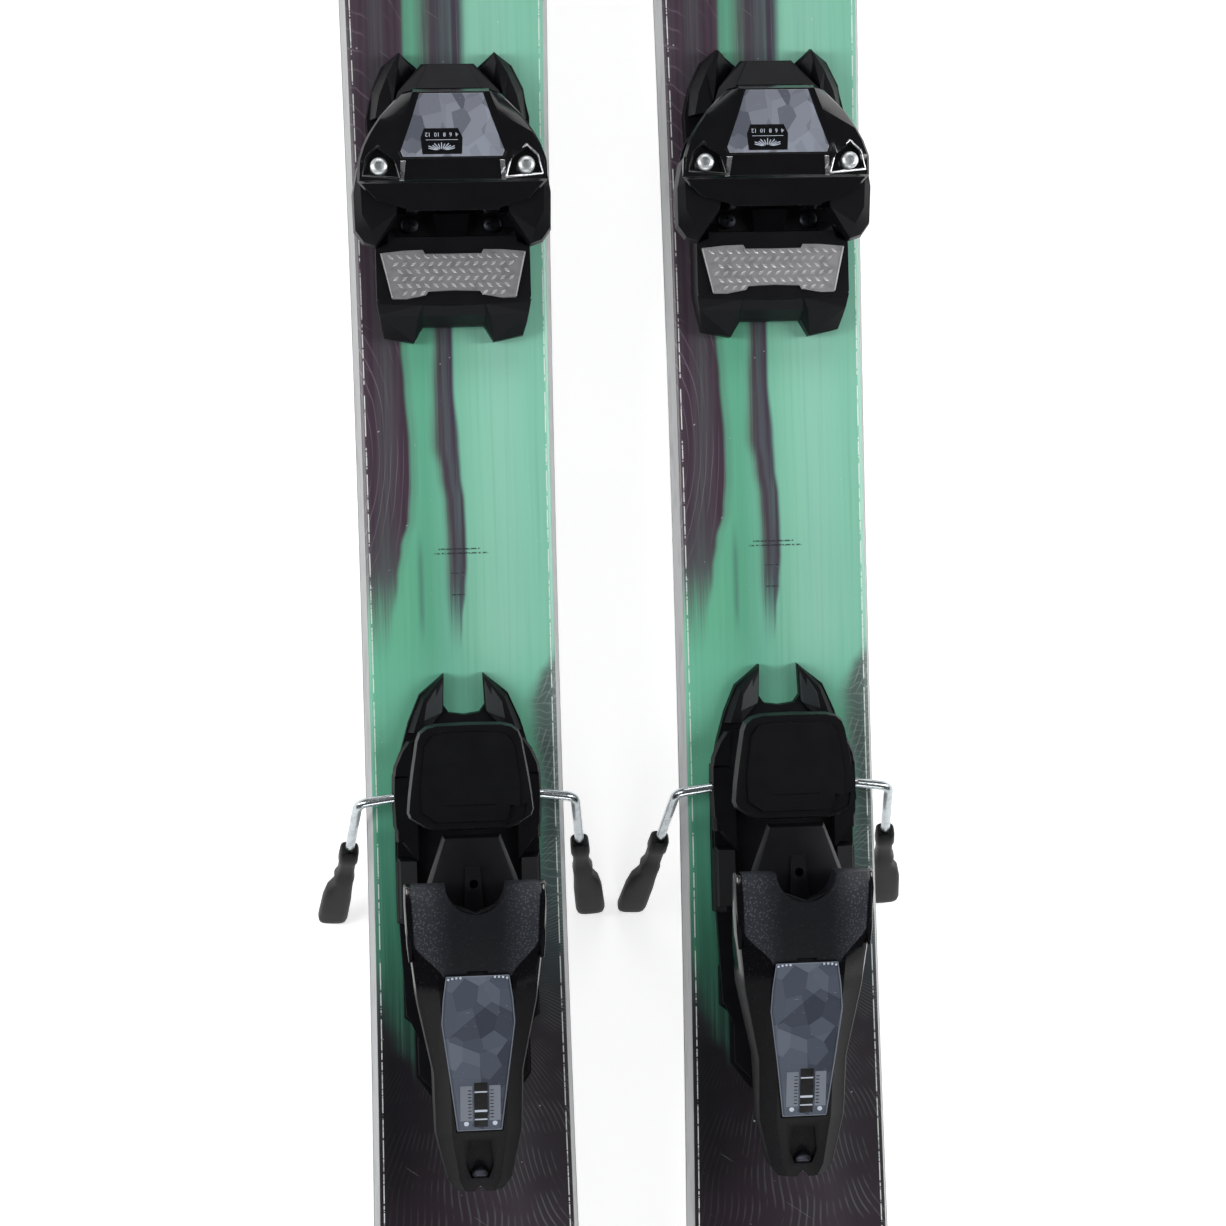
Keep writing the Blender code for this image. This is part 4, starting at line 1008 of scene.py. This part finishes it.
def makeTrack():
    half = [
        (0, -101.5), (18.4, -101.5), (26.6, -90), (26.6, -66.5), (31.4, -62.5), (31.4, -44.5),
        (25, -43), (25, -21), (33.5, -18.5), (33.5, 20), (33, 44.5), (30, 60.5),
        (26, 74.5), (20.6, 87), (9, 96.5), (9.6, 82), (7, 78.4), (0, 77.4),
    ]
    base = prism(mirrored(half), 0.3, 5.8, 0.4)
    extra = []
    for way in (1, -1):
        outer = [(9.2, 96, 5), (20.4, 86.8, 4), (25.8, 74.4, 4), (27.4, 69.6, 4), (9.8, 80, 5), (17, 69.6, 5)]
        outer += [
            (9.4, 95, 8.4), (18.6, 84.6, 9.8), (22.6, 73, 10), (23.6, 69.6, 10), (17.6, 82, 9.8),
            (18.6, 69.6, 9.8), (10, 79, 6.4),
        ]
        extra.append(hull(handed(outer, way)))
    channel = block((-4.2, 4.2), (-115, 6), (1.2, 20))
    data = finished(base, heelShift, 0.6, add=extra, cuts=[channel])
    place("heelTrack", data, "satin", "ski", ["heel_track"])
    for name, way in hands:
        points = [(9.5, 95.2, 8.2), (9.9, 79.6, 7.4), (10.6, 78, 8.2), (18.6, 75, 10.1), (17.4, 82.6, 10.1)]
        points += [(u, v, h - heel["facetLift"]) for u, v, h in points]
        # the prongs' inner facets take the lighter satin black: painted sheen
        place(f"prongFacet_{name}", finished(hull(handed(points, way)), heelShift, 0.25), "facet")
        step = [
            (26, 11.5, 5), (33.5, 11.5, 5), (33.5, -18.5, 5), (26, -18.5, 5), (33.2, 10.4, 9.4),
            (33.2, -17.6, 9.4), (28.5, 10.8, 13), (28.5, -18, 13), (26, 11, 13), (26, -18, 13),
        ]
        lug = [
            (26.6, -44.5, 0.4), (31.4, -44.5, 0.4), (31.4, -62, 0.4), (26.6, -65, 0.4), (30.6, -45.3, 8.4),
            (30.6, -61.2, 8.4), (25, -45.3, 8.8), (25, -64.5, 8.8),
        ]
        end = [
            (18, -67, 0.4), (26.6, -67, 0.4), (26.6, -89.6, 0.4), (18, -98, 0.4), (25.6, -68, 6.6),
            (25.6, -88.8, 6.6), (18, -68, 7), (18, -96.6, 7),
        ]
        shapes = [hull(handed(points, way)) for points in (step, lug, end)]
        place(f"trackSteps_{name}", finished(joined(*shapes), heelShift, 0.6), "satin")


# a round hole right across, at v and h
def crossBore(radius, reach, at, sides):
    return turned([(radius, 0), (radius, 2 * reach)], (-reach, *at), (reach, *at), sides)


# slides on the track and carries the lever's lugs and the brake's housing
def makeCarriage():
    axleV = heel["axle"][0]
    half = [(0, -82), (18, -82), (24, -74), (30.5, -60), (32.6, -20), (32.6, 47), (28, 52), (0, 52)]
    floor = prism(mirrored(half), 6.2, 9.3, 0.3)
    shell = [(0, 3), (18.5, 3), (26.5, 13), (31.5, 20.5), (34.2, 27), (34.6, 40), (34.2, 51), (0, 51)]
    visor = [(0, 49), (34.2, 49), (33.6, 54), (30.6, 61), (27.2, 66), (20, 67), (0, 67)]
    extra = [prism(mirrored(shell), 9, 15.9, 1.4), prism(mirrored(visor), 12.4, 15.9, 1.4)]
    cuts = [
        block((-23, 23), (-6, 30), (9.3, 30)),
        prism(mirrored([(0, 48), (26, 48), (24, 70), (0, 70)]), 15, 30),
    ]
    for way in (-1, 1):
        box = [
            (26, 19.5, 8), (33.5, 19.5, 8), (33.5, 46.5, 8), (26, 46.5, 8), (26, 20, 15.6), (32, 20, 15.6),
            (33.3, 21, 13.4), (33.3, 45.6, 13.4), (32, 46, 15.6), (26, 46, 15.6),
        ]
        extra.append(hull(handed(box, way)))
        lug = [(-14, 7), (-9, 30), (-5.5, 36), (0, 38), (5.5, 36), (9, 30), (14, 7)]
        extra.append(loft([[(way * u, axleV + v, h) for v, h in lug] for u in (11, 16)]))
        brace = [
            (24, 13, 8), (32.8, 13, 8), (24, -16, 8), (32.8, -16, 8), (24, 11, 16), (31.4, 11, 13.5),
            (24, -15, 16), (31.4, -15, 13.5),
        ]
        extra.append(hull(handed(brace, way)))
    cuts.append(crossBore(heel["wireHole"], 60, brake["pivot"], 20))
    cuts.append(crossBore(heel["axleHole"], 40, heel["axle"], 24))
    data = finished(floor, heelShift, 0.6, add=extra, cuts=cuts)
    place("heelCarriage", data, "satin", "carriage", ["heel_carriage"])


def makeHeelHousing():
    rings = [heelRing(*station) for station in heelStations]
    chamber = [heelRing(*heelStation(v)[:4], 0, shrink=heel["wall"]) for v in (-24, -46.5, -79.5, -110)]
    cuts = [loft(chamber), turned([(13.4, 0), (13.4, 40)], (0, 5.4, 50), (0, 5.4, 90), sides=48)]
    cuts.append(crossBore(heel["axleHole"], 60, heel["axle"], 24))
    # recess for the label and the slot ahead of it, and the pocket in the end cap
    recess = [(14.6, -34.5), (16.2, -46), (17, -57), (14, -80), (10.6, -108)]
    rows = []
    for u, v in recess:
        low = heelStation(v)[3] - 1.2
        rows.append([(u, v, low), (-u, v, low), (-u, v, low + 9), (u, v, low + 9)])
    cuts.append(loft(rows))
    cuts.append(block((-4.6, 4.6), (-37, -33.2), (66, 75)))
    pocket = [(-5, -113), (5, -113), (6.2, -124), (4, -130), (-4, -130), (-6.2, -124)]
    cuts.append(prism(pocket, lambda u, v: 44 + (v + 113) * 0.24, 70))
    cuts.append(turned([(5.0, 0), (5.0, 20)], (0, -128, 36.5), (0, -148, 34.5), sides=24))
    data = finished(loft(rings), heelShift, 0.5, cuts=cuts, angle=24)
    place("heelHousing", data, "heelHousing", "heel_lever", ["heel_housing"])
    # rounded posts down both front corners
    for name, way in hands:
        steps = [(1.3, 0), (1.8, 0.6), (1.9, 12), (1.6, 26), (0.8, 34)]
        post = turned(steps, (way * 29.4, 4.8, 66.8), (way * 29.2, -30, 62.2), sides=20)
        place(f"cornerPost_{name}", finished(post, heelShift, angle=60), "gloss", "heel_lever")
    lip = prism(mirrored([(0, -9.4), (12.6, -5.2), (13.4, -1.4), (11.4, -2.8), (0, -7.4)]), 64, 71.2)
    place("noseLip", finished(lip, heelShift, 0.4), "satin", "heel_lever")
    screw = turned([(3.4, 0), (3.6, 0.5), (3.6, 2.6), (3, 3)], (0, -127, 40.2), (0, -129.6, 44), sides=28)
    slot = [(-128.2, 42.6), (-129.4, 42), (-128.8, 46), (-130, 45.4)]
    cross = hull([(u, v, h) for u in (-2.2, 2.2) for v, h in slot])
    place("capScrew", finished(screw, heelShift, cuts=[cross], angle=35), "darkScrew", "heel_lever")


# a flat bar on the label, between heights over its face
def onLabel(us, vs, low, high):
    rows = []
    for v in vs:
        face = heelStation(v)[3] + heel["labelProud"]
        rows.append([(u, v, face + low) for u in us] + [(u, v, face + high) for u in reversed(us)])
    return loft(rows)


# a round stud that stands on the label
def stud(u, v, steps, sides):
    face = heelStation(v)[3] + heel["labelProud"]
    return turned(steps, (u, v, face - 0.1), (u, v, face + 1), sides)


def makeHeelLabel():
    pane = [(-35.5, 13.7), (-46, 15.2), (-57, 16), (-80, 13), (-107, 9.7)]
    rows = [(v, u, heelStation(v)[3]) for v, u in pane]
    rings = []
    for v, u, z in rows:
        right = [(u, v, z - 1), (u, v, z + 0.35), (u - 1.2, v, z + 1)]
        rings.append([(-u, v, z - 1), *right, *handed(right[:0:-1], -1)])
    label = finished(loft(rings), heelShift, 0.2, angle=12)
    place("heelLabel", label, "heelFacets", "heel_lever", ["heel_window"])
    # its rim of clear plastic
    strips = [tube([Vector((way * (u + 0.1), v, z + 0.75)) for v, u, z in rows], 0.26, 8) for way in (1, -1)]
    for v, u, z in (rows[0], rows[-1]):
        bar = [Vector((-u, v, z + 0.75)), Vector((0, v, z + 0.8)), Vector((u, v, z + 0.75))]
        strips.append(tube(bar, 0.26, 8))
    data = finished(joined(*strips), heelShift, angle=50)
    place("labelFrame", data, "scale", "heel_lever", slotName="window")
    # the setting's window with its marks, and a ruled panel on each side
    slot = onLabel((-2.4, 3.6), (-84.5, -105.6), -0.4, 0.12)
    place("scaleSlot", finished(slot, heelShift, 0.1), "printed", "heel_lever")
    marks = [onLabel((-2.2, 3.4), vs, 0, 0.2) for vs in ((-88.6, -89.2), (-97.4, -98.4), (-101.6, -102.2))]
    place("scaleMarks", finished(joined(*marks), heelShift), "pale", "heel_lever")
    panels, ticks, studs = [], [], []
    for us in ((-8.6, -3.2), (4.4, 9.4)):
        panels.append(onLabel(us, (-86, -102.5), -0.4, 0.08))
        inner = us[1] - 1.9 if us[0] < 0 else us[0] + 0.4
        for k in range(9):
            v = -88 - k * 1.6
            ticks.append(onLabel((inner, inner + 1.5), (v, v - 0.4), 0, 0.16))
    place("scalePanels", finished(joined(*panels), heelShift), "scale", "heel_lever")
    place("scaleTicks", finished(joined(*ticks), heelShift), "printed", "heel_lever")
    for way in (1, -1):
        for u, v in ((13, -36.6), (11.2, -36.2), (9.4, -36), (7.6, -36)):
            studs.append(stud(way * u, v, [(0.3, 0), (0.55, 0.2), (0.5, 0.45), (0.2, 0.6)], 10))
        studs.append(stud(way * 6.4 + 0.4, -103.8, [(1.1, 0), (1.1, 0.3), (0.8, 0.45)], 16))
    place("lensScrews", finished(joined(*studs), heelShift, angle=50), "pale", "heel_lever")


def makeTread():
    rim = [(20.6, -13, 45), (20.5, 4.2, 45.5), (13, 25, 44.4), (20.6, -13, 41), (20.2, 4.2, 41), (12, 24, 41)]
    rim += [
        (19, -12.6, 48.2), (18.6, 3.6, 48.8), (12, 23.6, 47.6), (13, -12.8, 49.4), (12, 3, 49.8),
        (8, 18.5, 49.6),
    ]
    tread = hull([(way * u, v, h) for u, v, h in rim for way in (1, -1)])
    arms = prism([(-18.5, -9), (18.5, -9), (18.5, -24), (-18.5, -24)], 33, lambda u, v: 47.6 + (v + 9) * 0.65)
    ridge = [(-4.4, -11.5), (4.4, -11.5), (3.2, 11), (-3.2, 11)]
    rib = prism(ridge, 46, lambda u, v: 53.4 - (v + 11.5) * 0.13)
    cheek = [(3, -12, 47), (12.5, -12, 47), (4, -12, 50.4), (10.5, -12, 49.8)]
    cheek += [(3, -4, 48), (6, -3, 48), (4, -5, 49.2)]
    cheeks = [hull(handed(cheek, way)) for way in (1, -1)]
    cuts = [turned([(2, 0), (2, 9)], (0.2, 3.4, 44.4), (0.2, 3.4, 60), sides=20)]
    data = finished(tread, heelShift, 0.6, add=[arms, rib, *cheeks], cuts=cuts)
    place("heelTread", data, "satin", "heel_lever", ["heel_cup"])


brake = {
    "pivot": (40, 12), "crank": (57.5, 39.5), "wire": 2.2,
    "armU": 50, "elbow": 5.5, "splay": 10, "back": 52, "depth": 84, "foot": 13,
}


def brakeArm():
    pivotV, pivotH = brake["pivot"]
    top = Vector((brake["armU"], pivotV - 2.2, pivotH - 2))
    end = (
        brake["armU"] + brake["splay"], pivotV - brake["elbow"] - brake["back"],
        brake["foot"] - brake["depth"],
    )
    return top, Vector(end)


def makeBrake():
    pivotV, pivotH = brake["pivot"]
    top, end = brakeArm()
    half = [
        end, top, Vector((34.5, pivotV, pivotH)), Vector((21, pivotV, pivotH)), Vector((20, *brake["crank"])),
    ]
    corners = half + [Vector((-p.x, p.y, p.z)) for p in reversed(half)]
    wire = tube(bentRoute(corners, 6.5), brake["wire"], 20)
    place("brakeWire", finished(wire, heelShift, angle=60), "chrome", "brake_arms", ["brake_wire"])
    along = (end - top).normalized()
    across = (Vector((1, 0, 0)) - along * along.x).normalized()
    deep = along.cross(across)
    grip, foot = top.lerp(end, 0.42), end + along * 14
    shares = [
        (0, -3.6, 3.6, 3.4), (0.02, -4.4, 4.4, 4.3), (0.13, -4.6, 4.6, 4.4), (0.16, -3.9, 3.9, 3.8),
        (0.3, -3.9, 3.9, 3.8), (0.36, -4.6, 5.2, 4.2), (0.45, -4.4, 4.6, 4.1), (0.54, -4.6, 7.6, 4.0),
        (0.66, -5, 8.8, 3.8), (0.94, -5, 9.4, 3.5), (0.985, -4.4, 8.8, 3.2), (1, -3, 7.4, 2.6),
    ]
    rings = []
    for share, inner, outer, thick in shares:
        middle = grip.lerp(foot, share)
        ring = []
        for k in range(24):
            a = 2 * math.pi * k / 24
            c, s = [math.copysign(abs(x) ** 0.62, x) for x in (math.cos(a), math.sin(a))]
            aside = (outer + inner) / 2 + (outer - inner) / 2 * c
            ring.append(middle + across * aside + deep * thick * s)
        rings.append(ring)
    for name, way in hands:
        tip = loft([[(way * p.x, p.y, p.z) for p in ring] for ring in rings])
        data = finished(tip, heelShift, 0.5, angle=40)
        place(f"brakeTip_{name}", data, "rubber", "brake_arms", [f"brake_tip_{name}"])


def makePedal():
    low = 42.6
    outline = mirrored([
        (0, 27), (17, 27.4), (21, 28.6), (27.6, 33), (28.6, 35.6), (27.8, 44), (26.4, 54), (24, 68),
        (22.6, 71.6), (19.6, 74), (15, 75.2), (0, 75.6),
    ])
    pad = prism(outline, low, lambda u, v: low + 6.4, 1.1)
    inner = [(0, 30.5), (15.5, 30.5), (22.4, 35.4), (23, 46), (20.4, 66), (17, 70.6), (10, 72), (0, 72.2)]
    raised = prism(mirrored(inner), low + 4, lambda u, v: low + 7.6 + 0.0006 * (v - 50) ** 2, 0.9)
    bosses = []
    for inner in (8, -13):
        bosses.append(turned([(3.9, 0), (3.9, 5)], (inner, 57.5, 39.5), (inner + 5, 57.5, 39.5), sides=24))
        bosses.append(block((inner, inner + 5), (54.2, 60.8), (39.5, low + 1)))
    cuts = [turned([(2.5, 0), (2.5, 60)], (-30, 57.5, 39.5), (30, 57.5, 39.5), sides=20)]
    notch = [(15.5, 29), (24, 32.5), (25.2, 38.6), (20.6, 37.4), (17.6, 38.4), (16.6, 33.6)]
    cuts.append(prism(notch, low + 5.6, 70))
    cuts.append(block((-11, 11), (38.2, 38.9), (low + 7.1, 70)))
    data = finished(pad, heelShift, 0.9, add=[raised, *bosses], cuts=cuts)
    place("brakePedal", data, "satin", "pedal", ["brake_pedal"])


print("making the skis")
makeSkis()
print("making the toe pieces")
makeToeBase()
makeToeHousing()
makeToeLabel()
makeToeWings()
makeSolePlate()
print("making the heel pieces")
makeTrack()
makeCarriage()
makeHeelHousing()
makeHeelLabel()
makeTread()
print("making the brakes")
makeBrake()
makePedal()

# solids that stay as they are take a finish
kept = {
    "toe_screw": "zinc", "toe_spring": "zinc", "toe_scale": "scale", "length_screw": "zinc",
    "heel_axle": "zinc", "heel_screw": "zinc", "heel_spring": "zinc", "heel_scale": "scale",
}
for side in sides:
    for node, finish in kept.items():
        data = frame["nodes"][f"{side}_{node}"].data
        data.materials.clear()
        data.materials.append(finishes[finish][1])
print("pieces made:", pieceCount)

studio = {
    "floor": "eaeaea", "floorReach": 7, "floorGlow": 0.62, "sky": 0.1,
    # where each soft box hangs, its size and its watts
    "boxes": {
        "leftBox": ((-1.5, 0.1, 1.1), (0.5, 1.6), 21),
        "rightBox": ((1.5, 0.1, 1.1), (0.5, 1.6), 21),
        "headBox": ((0, 1.7, 1.2), (1.4, 0.5), 13),
        "footBox": ((0, -1.7, 0.9), (1.4, 0.4), 10),
    },
    "eye": (-0.1296, 0.0189, 1.35), "aim": (-0.0027, -0.1055, 0.0845),
    "roll": 1.54, "lens": 85.5, "sensor": 36,
}


def makeFloor():
    mesh = bmesh.new()
    reach = studio["floorReach"]
    corners = [(-reach, -reach, 0), (reach, -reach, 0), (reach, reach, 0), (-reach, reach, 0)]
    mesh.faces.new([mesh.verts.new(c) for c in corners])
    floor = asObject("floor", mesh)
    p = Paint("paleFloor")
    soft = p.noise(p.point, 0.004, 2.0)
    colour = p.mixed(tone(studio["floor"]), tone("ffffff"), soft)
    floor.data.materials.append(p.finish(
        colour=colour, rough=0.8, glow=(1, 1, 1, 1), glowStrength=studio["floorGlow"],
    ))


def softbox(name, at, size, power):
    light = bpy.data.lights.new(name, "AREA")
    light.shape, light.size, light.size_y, light.energy = "RECTANGLE", *size, power
    holder = bpy.data.objects.new(name, light)
    bpy.context.scene.collection.objects.link(holder)
    holder.location = at
    holder.rotation_euler = (-Vector(at)).to_track_quat("-Z", "Y").to_euler()


def makeStudio():
    scene = bpy.context.scene
    scene.view_settings.view_transform = "Standard"
    world = bpy.data.worlds.new("studio")
    scene.world = world
    world.use_nodes = True
    back = world.node_tree.nodes["Background"]
    back.inputs["Color"].default_value = (1, 1, 1, 1)
    back.inputs["Strength"].default_value = studio["sky"]
    for name, box in studio["boxes"].items():
        softbox(name, *box)


def makeCamera():
    aim = Vector(studio["aim"])
    eye = aim + Vector(studio["eye"])
    back = (eye - aim).normalized()
    roll = math.radians(studio["roll"])
    right = Vector((math.sin(roll), math.cos(roll), 0)).cross(back).normalized()
    up = back.cross(right)
    camera = bpy.data.objects.new("camera", bpy.data.cameras.new("camera"))
    bpy.context.scene.collection.objects.link(camera)
    turn = Matrix((right, up, back)).transposed().to_4x4()
    camera.matrix_world = Matrix.Translation(eye) @ turn
    camera.data.lens, camera.data.sensor_width = studio["lens"], studio["sensor"]
    bpy.context.scene.camera = camera


makeFloor()
makeStudio()
makeCamera()
print("studio ready")
